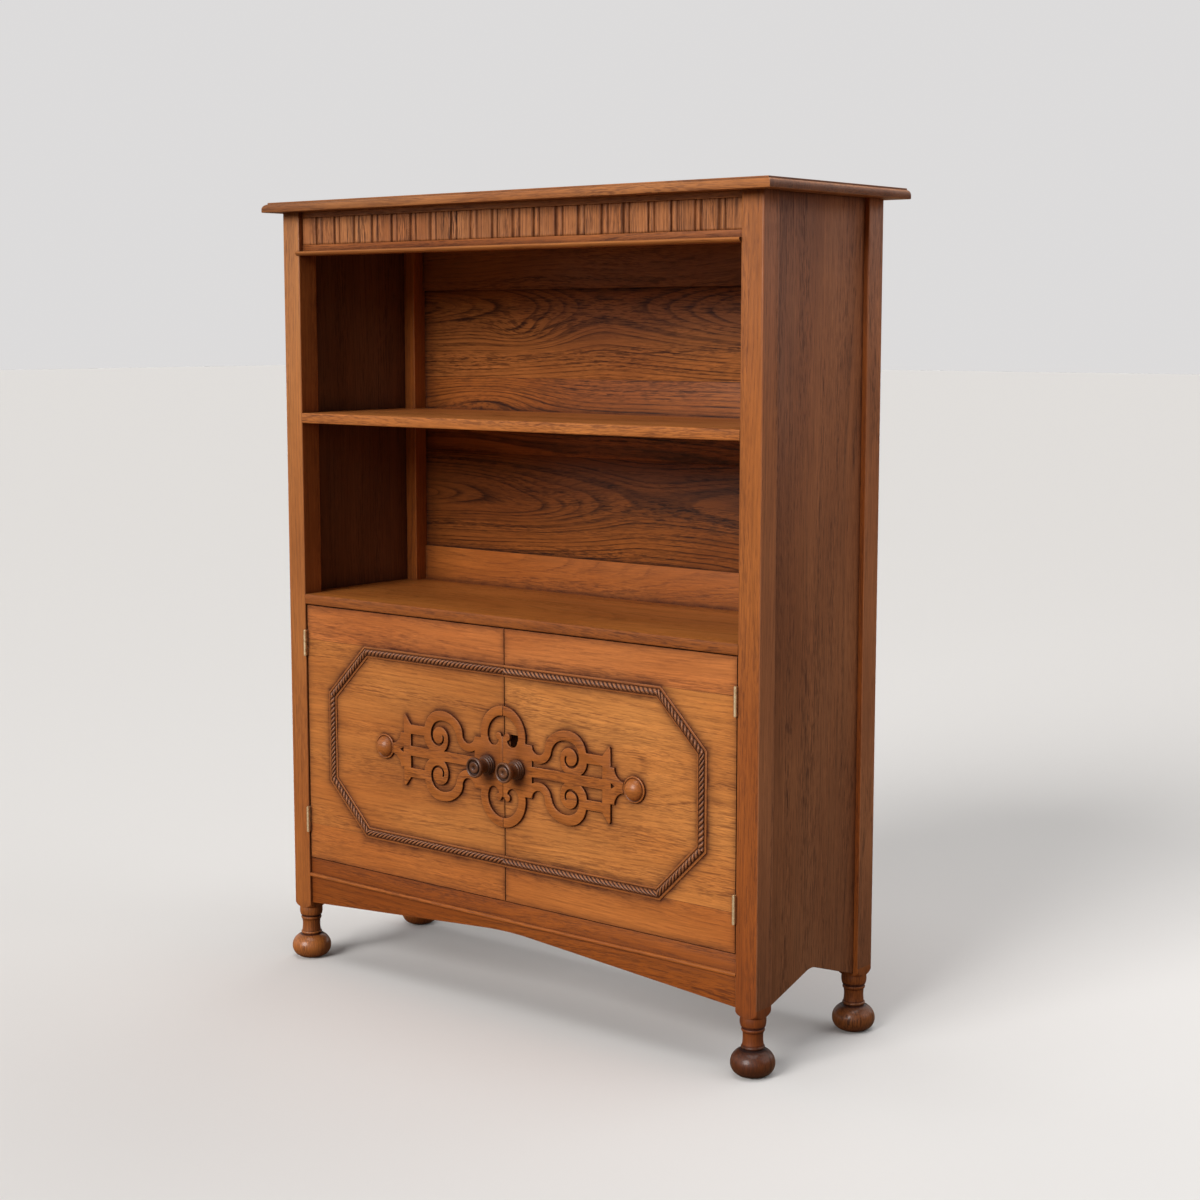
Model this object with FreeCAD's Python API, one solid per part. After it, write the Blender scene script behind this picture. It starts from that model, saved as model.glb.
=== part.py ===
import FreeCAD, Part
import math
import os

from FreeCAD import Vector

os.makedirs("parts", exist_ok=True)

# ---------------------------------------------------------------------------
# Oak bookcase with two open bays over a two-door cupboard, on turned bun feet.
# Millimetres. +Z is up, the front faces -Y, +X is to the right seen from the front.
# Depths below are written as d, measured back from the front face of the posts
# (d = 0 on that face, positive to the rear), and shifted by DEPTH_SHIFT so that the
# origin lies under the middle of the whole outline, on the floor.
# ---------------------------------------------------------------------------

# overall
HEIGHT = 1143.0            # floor to top surface
WIDTH = 868.0              # across the outer faces of the posts
DEPTH = 272.0              # front face of front posts to rear face of rear posts
POST = 34.0                # square section of the posts

# top board
TOP_THICK = 14.4
TOP_OVER_FRONT = 21.0
TOP_OVER_SIDE = 23.0
TOP_OVER_REAR = 30.0
TOP_FILLET_STEP = 2.2      # small flat step above the thumb moulding
TOP_FILLET_IN = 6.0
TOP_THUMB_R = 7.5

# knobs decide the foremost point
KNOB_OUT = 33.0            # knob face in front of the post faces
DEPTH_SHIFT = ((DEPTH + TOP_OVER_REAR) - KNOB_OUT) / 2.0

# turned feet (heights above the floor)
BUN_R = 29.4
BUN_TOP = 36.0
BUN_MAX_Z = 17.5
FOOT_FLAT_R = 13.0
RING_R = 15.6
RING_TOP = 40.5
NECK_R = 13.8
NECK_TOP = 59.0
BEAD_R = 15.4
BEAD_TOP = 64.0
GROOVE_R = 14.0
GROOVE_TOP = 66.0
COLLAR_R = 17.2
COLLAR_TOP = 79.0
SHOULDER_TOP = 91.0
SPIGOT_R = 8.0
SPIGOT_LEN = 22.0

# side panels
SIDE_PANEL_T = 6.0
SIDE_PANEL_RECESS = 7.6    # behind the outer faces of the posts
GROOVE_DEPTH = 8.0
SIDE_FOOT_Z = 84.0         # lower edge of the side panel beside the posts
SIDE_CROWN_Z = 118.0       # peak of the pointed arch

# frieze
FRIEZE_BOTTOM = 1065.4
FRIEZE_SET_BACK = 7.0
FRIEZE_T = 16.0
FIELD_BOTTOM = 1081.0
FIELD_TOP = 1120.5
FIELD_DEPTH = 6.0
FLUTE_PITCH = 38.5
FLUTE_COUNT = 20           # narrow reeds
NARROW_REED = 6.4
FLUTE_GROOVE = 3.4
LIP_BOTTOM = 1065.4
LIP_TOP = 1071.6
LIP_PROUD = 4.5
LIP_OVERLAP = 4.5          # over the front of the left post; the right end stops at its post

# boards
UPPER_SHELF_TOP = 835.0
MIDDLE_TOP = 564.5
BOTTOM_TOP = 160.0
BOARD_T = 15.0
BOTTOM_T = 13.0

# apron
APRON_SET_BACK = 4.0
APRON_T = 16.0
APRON_FOOT_Z = 89.0
APRON_CROWN_Z = 118.0
APRON_BEAD_Z0 = 130.5
APRON_BEAD_Z1 = 136.5

# back frame
BACK_FRONT = 258.0
BACK_T = 12.0
BACK_PANEL_D0 = 262.0
BACK_PANEL_T = 5.0
BACK_TOP_RAIL_Z0 = 1018.0
BACK_MID_RAIL_Z0 = 535.0
BACK_MID_RAIL_Z1 = 618.0
BACK_BOT_RAIL_Z0 = 122.0
BACK_BOT_RAIL_Z1 = 172.0
PANEL_LAP = 6.0
TENON_LEN = 13.0
TENON_T = 7.0

# doors
DOOR_SET_BACK = 2.0
DOOR_T = 18.0
DOOR_GAP_SIDE = 2.2
DOOR_GAP_MEET = 1.4        # between the two doors
DOOR_Z0 = 161.6
DOOR_Z1 = 548.0
DOOR_SEAM_LOW = 215.0
DOOR_SEAM_HIGH = 497.0

# applied ornament on the doors
ORN_Z = 353.8              # centre height of fret and rope octagon
ORN_MEET = 0.2             # the ornament's halves run this near to the meeting line
FRET_T = 4.0
ROPE_HALF_W = 345.0
ROPE_HALF_H = 136.2
ROPE_CHAMFER = 72.0
ROPE_STRIP_OUT = 7.2       # the strip reaches this far outside the octagon's line
ROPE_STRIP_IN = 9.2        # and this far inside it
ROPE_STRIP_T = 1.5
ROPE_BEAD_W = 8.6
ROPE_BEAD_T = 4.6
ROPE_BEAD_IN = 1.2         # bead offset towards the middle of the octagon
BOSS_X = 233.0
BOSS_R = 18.0
BOSS_OUT = 13.2
BOSS_DOME_R = 14.8
KNOB_X = 27.5
KNOB_HEAD_R = 14.3
KNOB_BASE_R = 13.9

# butt hinges
HINGE_LEN = 38.0
HINGE_UP_Z = 491.0
HINGE_LOW_Z = 220.4
PIN_FRONT = 2.6            # pin axis in front of the post face
KNUCKLE_R = 2.4
PIN_R = 1.2
PIN_CLEAR = 0.06
LEAF_T = 1.0
LEAF_BACK = 13.0
KNUCKLES = 5
KNUCKLE_GAP = 0.2

# lock on the right door, bolt on the left door
KEY_X = 20.0
KEY_Z = 389.0
KEY_HOLE_W = 18.0          # opening cut in the door in front of the lock
KEY_HOLE_H = 23.0
LOCK_BOLT_THROW = 7.0
DOOR_BOLT_THROW = 9.0

HALF = WIDTH / 2.0
IN = HALF - POST                    # inner faces of the posts
POST_C = HALF - POST / 2.0
TOP_UNDER = HEIGHT - TOP_THICK
DOOR_EDGE = IN - DOOR_GAP_SIDE
DOOR_MEET = DOOR_GAP_MEET / 2.0
DOOR_D0 = DOOR_SET_BACK
DOOR_D1 = DOOR_SET_BACK + DOOR_T


def Y(d):
    return d - DEPTH_SHIFT


def box(x0, x1, d0, d1, z0, z1):
    return Part.makeBox(x1 - x0, d1 - d0, z1 - z0, Vector(x0, Y(d0), z0))


def fuse(shapes):
    s = shapes[0]
    if len(shapes) > 1:
        s = s.multiFuse(shapes[1:])
    return s.removeSplitter()


def mirror_x(s):
    return s.mirror(Vector(0, 0, 0), Vector(1, 0, 0))


def prism_xz(points, d0, d1):
    """Straight-edged outline in X and Z, run back from d0 to d1."""
    v = [Vector(x, Y(d0), z) for x, z in points]
    return Part.Face(Part.makePolygon(v + [v[0]])).extrude(Vector(0, d1 - d0, 0))


def prism_dz(points, x0, x1):
    v = [Vector(x0, Y(d), z) for d, z in points]
    return Part.Face(Part.makePolygon(v + [v[0]])).extrude(Vector(x1 - x0, 0, 0))


def prism_xd(points, z0, z1):
    v = [Vector(x, Y(d), z0) for x, d in points]
    return Part.Face(Part.makePolygon(v + [v[0]])).extrude(Vector(0, 0, z1 - z0))


def cyl_y(x, z, r, d0, d1):
    return Part.makeCylinder(r, d1 - d0, Vector(x, Y(d0), z), Vector(0, 1, 0))


def cyl_x(x0, x1, d, z, r):
    return Part.makeCylinder(r, x1 - x0, Vector(x0, Y(d), z), Vector(1, 0, 0))


def cyl_z(x, d, z0, z1, r):
    return Part.makeCylinder(r, z1 - z0, Vector(x, Y(d), z0), Vector(0, 0, 1))


def edge_line(a, b):
    return Part.LineSegment(a, b).toShape()


def edge_arc(a, b, c):
    return Part.Arc(a, b, c).toShape()


def turned(edges, axis_pos, axis_dir):
    return Part.Face(Part.Wire(edges)).revolve(axis_pos, axis_dir, 360)


def round_edges(s, r, keep):
    """Eases the edges for which keep(edge) is true."""
    edges = [e for e in s.Edges if keep(e)]
    return s.makeFillet(r, edges) if edges else s


pieces = {}

# ---------------------------------------------------------------------------
# Turned ends of the posts and the bun feet. Profiles are radius and height.
# ---------------------------------------------------------------------------


def lathe_z(x, d, edges_rz):
    """Solid of revolution about a vertical axis; edges_rz holds lines (2 points) and arcs (3 points)."""
    out = []
    for pts in edges_rz:
        v = [Vector(x + r, Y(d), z) for r, z in pts]
        out.append(edge_line(*v) if len(v) == 2 else edge_arc(*v))
    return turned(out, Vector(x, Y(d), 0), Vector(0, 0, 1))


def bun_foot(x, d):
    neck_z = BUN_TOP
    return lathe_z(x, d, [
        [(0, 0), (FOOT_FLAT_R, 0)],
        [(FOOT_FLAT_R, 0), (25.6, 6.4), (BUN_R, BUN_MAX_Z)],
        [(BUN_R, BUN_MAX_Z), (25.0, 29.4), (14.6, neck_z)],
        [(14.6, neck_z), (RING_R, neck_z + 2.2), (14.2, RING_TOP)],
        [(14.2, RING_TOP), (SPIGOT_R, RING_TOP)],
        [(SPIGOT_R, RING_TOP), (SPIGOT_R, RING_TOP + SPIGOT_LEN)],
        [(SPIGOT_R, RING_TOP + SPIGOT_LEN), (0, RING_TOP + SPIGOT_LEN)],
        [(0, RING_TOP + SPIGOT_LEN), (0, 0)],
    ])


def post(x, d):
    square = box(x - POST / 2, x + POST / 2, d - POST / 2, d + POST / 2, COLLAR_TOP - 1.0, TOP_UNDER)
    corner = POST  # larger than the half diagonal
    # the square is turned in to the collar with a rounded shoulder
    waste = lathe_z(x, d, [
        [(COLLAR_R - 0.4, COLLAR_TOP - 4), (COLLAR_R - 0.4, COLLAR_TOP)],
        [(COLLAR_R - 0.4, COLLAR_TOP), (21.6, 82.6), (24.3, SHOULDER_TOP)],
        [(24.3, SHOULDER_TOP), (corner, SHOULDER_TOP)],
        [(corner, SHOULDER_TOP), (corner, COLLAR_TOP - 4)],
        [(corner, COLLAR_TOP - 4), (COLLAR_R - 0.4, COLLAR_TOP - 4)],
    ])
    square = square.cut(waste)
    stem = lathe_z(x, d, [
        [(0, RING_TOP), (NECK_R + 0.6, RING_TOP)],
        [(NECK_R + 0.6, RING_TOP), (NECK_R - 0.5, 49.0), (NECK_R, NECK_TOP)],
        [(NECK_R, NECK_TOP), (BEAD_R, (NECK_TOP + BEAD_TOP) / 2), (GROOVE_R, BEAD_TOP)],
        [(GROOVE_R, BEAD_TOP), (GROOVE_R, GROOVE_TOP)],
        [(GROOVE_R, GROOVE_TOP), (COLLAR_R - 1.0, GROOVE_TOP)],
        [(COLLAR_R - 1.0, GROOVE_TOP), (COLLAR_R, (GROOVE_TOP + COLLAR_TOP) / 2), (COLLAR_R - 0.6, COLLAR_TOP)],
        [(COLLAR_R - 0.6, COLLAR_TOP), (0, COLLAR_TOP)],
        [(0, COLLAR_TOP), (0, RING_TOP)],
    ])
    s = square.fuse(stem).removeSplitter()
    hole = cyl_z(x, d, RING_TOP - 1, RING_TOP + SPIGOT_LEN, SPIGOT_R)
    return s.cut(hole)


post_places = {
    "front_left_post": (-POST_C, POST / 2),
    "front_right_post": (POST_C, POST / 2),
    "rear_left_post": (-POST_C, DEPTH - POST / 2),
    "rear_right_post": (POST_C, DEPTH - POST / 2),
}
posts = {n: post(x, d) for n, (x, d) in post_places.items()}
for n, (x, d) in post_places.items():
    pieces[n.replace("post", "bun_foot")] = bun_foot(x, d)

# ---------------------------------------------------------------------------
# Top board: thumb moulding on the front and both ends, plain at the back.
# ---------------------------------------------------------------------------
top_x = HALF + TOP_OVER_SIDE
top_d0 = -TOP_OVER_FRONT
top_d1 = DEPTH + TOP_OVER_REAR
step_z = HEIGHT - TOP_FILLET_STEP
slab = box(-top_x, top_x, top_d0, top_d1, TOP_UNDER, step_z)


def thumb_edge(e):
    b = e.BoundBox
    if abs(b.ZMin - step_z) > 1e-6 or abs(b.ZMax - step_z) > 1e-6:
        return False
    return not (b.YMin > Y(top_d1) - 1e-6)


slab = round_edges(slab, TOP_THUMB_R, thumb_edge)
lid = box(-top_x + TOP_FILLET_IN, top_x - TOP_FILLET_IN, top_d0 + TOP_FILLET_IN, top_d1, step_z - 1.0, HEIGHT)
pieces["top_board"] = fuse([slab, lid])

# ---------------------------------------------------------------------------
# Side panels, held in grooves down the middle of the posts.
# ---------------------------------------------------------------------------
panel_d0 = POST - GROOVE_DEPTH
panel_d1 = DEPTH - POST + GROOVE_DEPTH
mid_d = DEPTH / 2.0
slope = (SIDE_CROWN_Z - SIDE_FOOT_Z) / (mid_d - POST)
end_z = SIDE_FOOT_Z
side_outline = [
    (panel_d0, end_z), (POST, end_z), (mid_d - 14, SIDE_CROWN_Z - 14 * slope),
    (mid_d - 5, SIDE_CROWN_Z - 14 * slope + 2.6), (mid_d + 5, SIDE_CROWN_Z - 14 * slope + 2.6),
    (mid_d + 14, SIDE_CROWN_Z - 14 * slope), (DEPTH - POST, end_z), (panel_d1, end_z),
    (panel_d1, TOP_UNDER), (panel_d0, TOP_UNDER),
]
PANEL_OUT = HALF - SIDE_PANEL_RECESS           # outer face of the side panels
PANEL_IN = PANEL_OUT - SIDE_PANEL_T            # inner face
right_panel = prism_dz(side_outline, PANEL_IN, PANEL_OUT)
pieces["right_side_panel"] = right_panel
pieces["left_side_panel"] = mirror_x(right_panel)

# ---------------------------------------------------------------------------
# Frieze: rail with a sunk field, fluted strip in the field, projecting lip below.
# ---------------------------------------------------------------------------
fr0 = FRIEZE_SET_BACK
rail = box(-IN, IN, fr0, fr0 + FRIEZE_T, FRIEZE_BOTTOM, TOP_UNDER)
rail = rail.cut(box(-IN - 1, IN + 1, fr0 - 1, fr0 + FIELD_DEPTH, FIELD_BOTTOM, FIELD_TOP))
tenon_d = fr0 + FIELD_DEPTH + 1.5
tenons = [box(IN if s > 0 else -IN - TENON_LEN, IN + TENON_LEN if s > 0 else -IN, tenon_d, tenon_d + TENON_T,
              FRIEZE_BOTTOM + 8, TOP_UNDER - 26) for s in (1, -1)]
pieces["frieze_rail"] = fuse([rail] + tenons)


def fluted_strip():
    """Alternating broad and narrow reeds with sunk grooves between them."""
    back = fr0 + FIELD_DEPTH
    low = fr0 + 4.4            # bottom of the grooves
    broad_high = fr0 + 0.6
    narrow_high = fr0 + 0.8
    edges = []

    def V(x, d):
        return Vector(x, Y(d), FIELD_BOTTOM)

    def reed(x0, x1, high, shoulder):
        xm = (x0 + x1) / 2
        edges.append(edge_line(V(x0, low), V(x0, shoulder)))
        edges.append(edge_arc(V(x0, shoulder), V(xm, high), V(x1, shoulder)))
        edges.append(edge_line(V(x1, shoulder), V(x1, low)))

    first = -FLUTE_PITCH * (FLUTE_COUNT - 1) / 2.0
    x0 = -IN
    for i in range(FLUTE_COUNT):
        c = first + i * FLUTE_PITCH
        a, b = c - NARROW_REED / 2, c + NARROW_REED / 2
        x1 = a - FLUTE_GROOVE
        reed(x0, x1, broad_high, fr0 + 1.7)
        edges.append(edge_line(V(x1, low), V(a, low)))
        reed(a, b, narrow_high, fr0 + 2.0)
        edges.append(edge_line(V(b, low), V(b + FLUTE_GROOVE, low)))
        x0 = b + FLUTE_GROOVE
    reed(x0, IN, broad_high, fr0 + 1.7)
    edges.append(edge_line(V(IN, low), V(IN, back)))
    edges.append(edge_line(V(IN, back), V(-IN, back)))
    edges.append(edge_line(V(-IN, back), V(-IN, low)))
    return Part.Face(Part.Wire(edges)).extrude(Vector(0, 0, FIELD_TOP - FIELD_BOTTOM))


pieces["frieze_fluted_strip"] = fluted_strip()

lip = box(-IN, IN, -LIP_PROUD, fr0, LIP_BOTTOM, LIP_TOP)
lip_face = box(-IN - LIP_OVERLAP, IN, -LIP_PROUD, 0, LIP_BOTTOM, LIP_TOP)
lip = fuse([lip, lip_face])
lip = round_edges(lip, 2.2, lambda e: abs(e.BoundBox.YMax - Y(-LIP_PROUD)) < 1e-6 and e.BoundBox.XLength > 700)
pieces["frieze_lip_moulding"] = lip

# ---------------------------------------------------------------------------
# Boards: notched round the posts, out to the side panels.
# ---------------------------------------------------------------------------


def board(d0, d1, z0, z1, front_ease):
    pts = [(-IN, d0), (IN, d0)]
    if d0 < POST:
        pts += [(IN, POST), (PANEL_IN, POST)]
    pts += [(PANEL_IN, DEPTH - POST), (IN, DEPTH - POST), (IN, d1), (-IN, d1), (-IN, DEPTH - POST), (-PANEL_IN, DEPTH - POST)]
    if d0 < POST:
        pts += [(-PANEL_IN, POST), (-IN, POST)]
    s = prism_xd(pts, z0, z1)
    if front_ease:
        s = round_edges(s, front_ease, lambda e: abs(e.BoundBox.YMax - Y(d0)) < 1e-6 and e.BoundBox.XLength > 700)
    return s


boards = {
    "upper_shelf": board(0.0, BACK_PANEL_D0, UPPER_SHELF_TOP - BOARD_T, UPPER_SHELF_TOP, 1.4),
    "middle_board": board(0.0, BACK_FRONT, MIDDLE_TOP - BOARD_T, MIDDLE_TOP, 1.4),
    "bottom_board": board(APRON_SET_BACK + APRON_T, BACK_FRONT, BOTTOM_TOP - BOTTOM_T, BOTTOM_TOP, 0),
}

# ---------------------------------------------------------------------------
# Apron rail with a shallow pointed arch and an applied half-round bead.
# ---------------------------------------------------------------------------
ap0, ap1 = APRON_SET_BACK, APRON_SET_BACK + APRON_T
aslope = (APRON_CROWN_Z - APRON_FOOT_Z) / IN
apron = prism_xz([(-IN, APRON_FOOT_Z), (-40, APRON_CROWN_Z - 40 * aslope), (-14, APRON_CROWN_Z - 24 * aslope),
                  (14, APRON_CROWN_Z - 24 * aslope), (40, APRON_CROWN_Z - 40 * aslope), (IN, APRON_FOOT_Z),
                  (IN, BOTTOM_TOP), (-IN, BOTTOM_TOP)], ap0, ap1)
tenons = [box(IN if s > 0 else -IN - TENON_LEN, IN + TENON_LEN if s > 0 else -IN, ap0 + 4.5, ap0 + 4.5 + TENON_T, 98, 150) for s in (1, -1)]
pieces["apron_rail"] = fuse([apron] + tenons)
zm = (APRON_BEAD_Z0 + APRON_BEAD_Z1) / 2
v0, v1, v2 = Vector(-IN, Y(ap0), APRON_BEAD_Z0), Vector(-IN, Y(ap0 - 4.4), zm), Vector(-IN, Y(ap0), APRON_BEAD_Z1)
w0, w1 = Vector(-IN, Y(ap0 - 1.4), APRON_BEAD_Z0), Vector(-IN, Y(ap0 - 1.4), APRON_BEAD_Z1)
pieces["apron_bead"] = Part.Face(Part.Wire([edge_line(v0, w0), edge_arc(w0, v1, w1), edge_line(w1, v2), edge_line(v2, v0)])).extrude(
    Vector(2 * IN, 0, 0))

# ---------------------------------------------------------------------------
# Back: three rails tenoned between the rear posts, two panels in grooves.
# ---------------------------------------------------------------------------


def back_rail(z0, z1):
    body = box(-IN, IN, BACK_FRONT, BACK_FRONT + BACK_T, z0, z1)
    t = [box(IN if s > 0 else -IN - TENON_LEN, IN + TENON_LEN if s > 0 else -IN, BACK_FRONT + 2.5, BACK_FRONT + 2.5 + TENON_T,
             z0 + 9, z1 - 9) for s in (1, -1)]
    return fuse([body] + t)


back_top = back_rail(BACK_TOP_RAIL_Z0, TOP_UNDER)
back_mid = back_rail(BACK_MID_RAIL_Z0, BACK_MID_RAIL_Z1)
back_bot = back_rail(BACK_BOT_RAIL_Z0, BACK_BOT_RAIL_Z1)
upper_back = box(-IN - PANEL_LAP, IN + PANEL_LAP, BACK_PANEL_D0, BACK_PANEL_D0 + BACK_PANEL_T,
                 BACK_MID_RAIL_Z1 - PANEL_LAP, BACK_TOP_RAIL_Z0 + PANEL_LAP)
lower_back = box(-IN - PANEL_LAP, IN + PANEL_LAP, BACK_PANEL_D0, BACK_PANEL_D0 + BACK_PANEL_T,
                 BACK_BOT_RAIL_Z1 - PANEL_LAP, BACK_MID_RAIL_Z0 + PANEL_LAP)
pieces["back_top_rail"] = back_top.cut(upper_back)
pieces["back_middle_rail"] = back_mid.cut(upper_back).cut(lower_back)
pieces["back_bottom_rail"] = back_bot.cut(lower_back)
pieces["upper_back_panel"] = upper_back
pieces["lower_back_panel"] = lower_back

# ---------------------------------------------------------------------------
# Dowels: boards to posts, top board to posts.
# ---------------------------------------------------------------------------
board_dowels = []
for z in (UPPER_SHELF_TOP - BOARD_T / 2, MIDDLE_TOP - BOARD_T / 2):
    for s in (1, -1):
        for d in (POST / 2, BACK_FRONT - 10.0):
            x0, x1 = sorted((s * (IN - 16), s * (IN + 15)))
            board_dowels.append(cyl_x(x0, x1, d, z, 3.5))
for s in (1, -1):
    x0, x1 = sorted((s * (IN - 16), s * (IN + 15)))
    for d in (27.0, BACK_FRONT - 10.0):
        board_dowels.append(cyl_x(x0, x1, d, BOTTOM_TOP - BOTTOM_T / 2, 3.5))
top_dowels = [cyl_z(x, d, TOP_UNDER - 20, TOP_UNDER + 8, 4.5) for x, d in post_places.values()]

bottom = boards["bottom_board"]
for n in boards:
    b = boards[n]
    for dw in board_dowels:
        b = b.cut(dw)
    pieces[n] = b
for dw in top_dowels:
    pieces["top_board"] = pieces["top_board"].cut(dw)
pieces["shelf_dowels"] = Part.makeCompound(board_dowels)
pieces["top_dowels"] = Part.makeCompound(top_dowels)

# ---------------------------------------------------------------------------
# Doors: three boards each, edge to edge, set a little behind the posts.
# ---------------------------------------------------------------------------


def door_board(z0, z1):
    return box(DOOR_MEET, DOOR_EDGE, DOOR_D0, DOOR_D1, z0, z1)


right = {
    "door_bottom_rail": door_board(DOOR_Z0, DOOR_SEAM_LOW),
    "door_panel": door_board(DOOR_SEAM_LOW, DOOR_SEAM_HIGH),
    "door_top_rail": door_board(DOOR_SEAM_HIGH, DOOR_Z1),
}

# rope moulding: flat strip with a raised bead between two fillets, mitred round half an octagon


def octagon_half(inset):
    """Half of the octagon, moved towards its middle by inset."""
    w, h, c = ROPE_HALF_W - inset, ROPE_HALF_H - inset, ROPE_CHAMFER
    k = inset * (math.sqrt(2) - 2)   # the mitred corner keeps its angle
    c2 = c + k
    return [(ORN_MEET, ORN_Z + h), (w - c2, ORN_Z + h), (w, ORN_Z + h - c2), (w, ORN_Z - h + c2), (w - c2, ORN_Z - h), (ORN_MEET, ORN_Z - h)]


def rope_band(outer, inner, d0, d1):
    return prism_xz(octagon_half(outer) + list(reversed(octagon_half(inner))), d0, d1)


strip = rope_band(-ROPE_STRIP_OUT, ROPE_STRIP_IN, DOOR_D0 - ROPE_STRIP_T, DOOR_D0)
bead = rope_band(ROPE_BEAD_IN - ROPE_BEAD_W / 2, ROPE_BEAD_IN + ROPE_BEAD_W / 2, DOOR_D0 - ROPE_BEAD_T, DOOR_D0)
right["rope_moulding"] = fuse([strip, bead])

# fret: flat sawn strapwork, one half on each door; u is measured from the meeting line, v from the middle
FR_D0, FR_D1 = DOOR_D0 - FRET_T, DOOR_D0
RING_C, RING_OUT, RING_IN = 44.0, 42.0, 28.5
BAND = 12.0
U_C, U_R = (65.6, 36.6), 11.6
# the scroll winds in about its eye; each pair is an angle in degrees and a radius
EYE_C = (122.5, 27.0)
SCROLL_OUT = [(170, 46.1), (160, 46.9), (149, 46.1), (133, 43.4), (118, 41.2), (105, 39.5), (90, 38.3), (75, 37.3), (60, 35.7), (45, 33.9), (30, 32.0), (15, 30.7),
              (0, 30.2), (-20, 29.6), (-37, 28.4), (-55, 26.8), (-72, 25.1), (-90, 23.6), (-107, 22.4), (-125, 20.9), (-146, 19.0), (-163, 17.9), (-180, 17.2),
              (-202, 16.7), (-224, 16.2), (-247, 15.6), (-270, 15.0), (-293, 14.4), (-316, 13.7), (-340, 13.0), (-362, 12.3), (-385, 11.5), (-410, 10.7),
              (-440, 9.8), (-470, 8.9), (-500, 8.0), (-530, 7.0), (-565, 6.0)]
SCROLL_IN = [(169, 33.8), (152, 32.6), (136, 30.4), (118, 27.2), (104, 25.2), (90, 23.6), (66, 21.5), (48, 19.7), (24, 17.6), (0, 16.2), (-24, 15.0), (-53, 13.7),
             (-90, 12.4), (-117, 11.5), (-148, 10.3), (-180, 9.2), (-205, 8.3)]
BAR_V = 7.3
BODY_U, BODY_V = 53.6, 37.2
END_U0, END_U1 = 179.4, 193.4


def f_disc(c, r):
    return cyl_y(c[0], ORN_Z + c[1], r, FR_D0, FR_D1)


def f_poly(pts):
    return prism_xz([(u, ORN_Z + v) for u, v in pts], FR_D0, FR_D1)


def f_sector(c, r0, r1, a0, a1):
    def p(r, a):
        return Vector(c[0] + r * math.cos(math.radians(a)), Y(FR_D0), ORN_Z + c[1] + r * math.sin(math.radians(a)))
    m = (a0 + a1) / 2
    w = Part.Wire([edge_arc(p(r1, a0), p(r1, m), p(r1, a1)), edge_line(p(r1, a1), p(r0, a1)),
                   edge_arc(p(r0, a1), p(r0, m), p(r0, a0)), edge_line(p(r0, a0), p(r1, a0))])
    return Part.Face(w).extrude(Vector(0, FR_D1 - FR_D0, 0))


def f_scroll():
    """Strap that narrows as it winds in to the eye."""
    def at(a, r):
        return Vector(EYE_C[0] + r * math.cos(math.radians(a)), Y(FR_D0), ORN_Z + EYE_C[1] + r * math.sin(math.radians(a)))
    out = [at(*q) for q in SCROLL_OUT]
    inn = [at(*q) for q in reversed(SCROLL_IN)]
    curves = []
    for pts in (out, inn):
        c = Part.BSplineCurve()
        c.interpolate(pts)
        curves.append(c.toShape())
    w = Part.Wire([curves[0], edge_line(out[-1], inn[0]), curves[1], edge_line(inn[-1], out[0])])
    return Part.Face(w).extrude(Vector(0, FR_D1 - FR_D0, 0))


def fret_quarter():
    body = fuse([f_disc((0, RING_C), RING_OUT), f_poly([(-60, 0), (BODY_U, 0), (BODY_U, BODY_V), (-60, BODY_V)])])
    hole = f_disc((0, RING_C), RING_IN).common(f_poly([(-60, 39), (60, 39), (60, 90), (-60, 90)]))
    hole = fuse([hole, f_disc((17.5, 39.0), 9.7), f_disc((-17.5, 39.0), 9.7)])
    tongue = fuse([f_disc((7.8, 43.0), 5.2), f_disc((-7.8, 43.0), 5.2), f_poly([(-7.6, 26), (7.6, 26), (7.6, 43.0), (-7.6, 43.0)])])
    body = body.cut(hole.cut(tongue))
    body = body.common(f_poly([(ORN_MEET, 0), (80, 0), (80, 100), (ORN_MEET, 100)]))
    spear_c = (218.0, 25.3)
    sp = [Vector(u, Y(FR_D0), ORN_Z + v) for u, v in
          [(188, 0), (188, 25.3), (200, 25.3), (spear_c[0] - 18 * math.sqrt(0.5), spear_c[1] - 18 * math.sqrt(0.5)), (218, 7.3), (226, 7.3), (226, 0)]]
    spear = Part.Face(Part.Wire([edge_line(sp[0], sp[1]), edge_line(sp[1], sp[2]), edge_arc(sp[2], sp[3], sp[4]),
                                 edge_line(sp[4], sp[5]), edge_line(sp[5], sp[6]), edge_line(sp[6], sp[0])])).extrude(
        Vector(0, FR_D1 - FR_D0, 0))
    parts = [
        body,
        f_sector(U_C, U_R, U_R + BAND, 190, 362),
        f_scroll(),
        f_poly([(20, 0), (END_U1, 0), (END_U1, BAR_V), (20, BAR_V)]),
        f_poly([(147, 25.0), (181, 25.0), (181, 38.7), (147, 38.7)]),
        f_poly([(END_U0, 0), (END_U1, 0), (END_U1, 49.6), (191.6, 52.2), (190.2, 52.2), (END_U0, 38.7)]),
        spear,
    ]
    s = fuse(parts)
    s = s.common(f_poly([(ORN_MEET, 0), (240, 0), (240, 100), (ORN_MEET, 100)]))
    return s.cut(f_poly([(194.4, -1), (200.6, -1), (200.6, 0.4), (194.4, 3.6)]))


quarter = fret_quarter()
lower = quarter.mirror(Vector(0, 0, ORN_Z), Vector(0, 0, 1))
fret = fuse([quarter, lower])

# turned half-round boss at the tip of the fret


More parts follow.
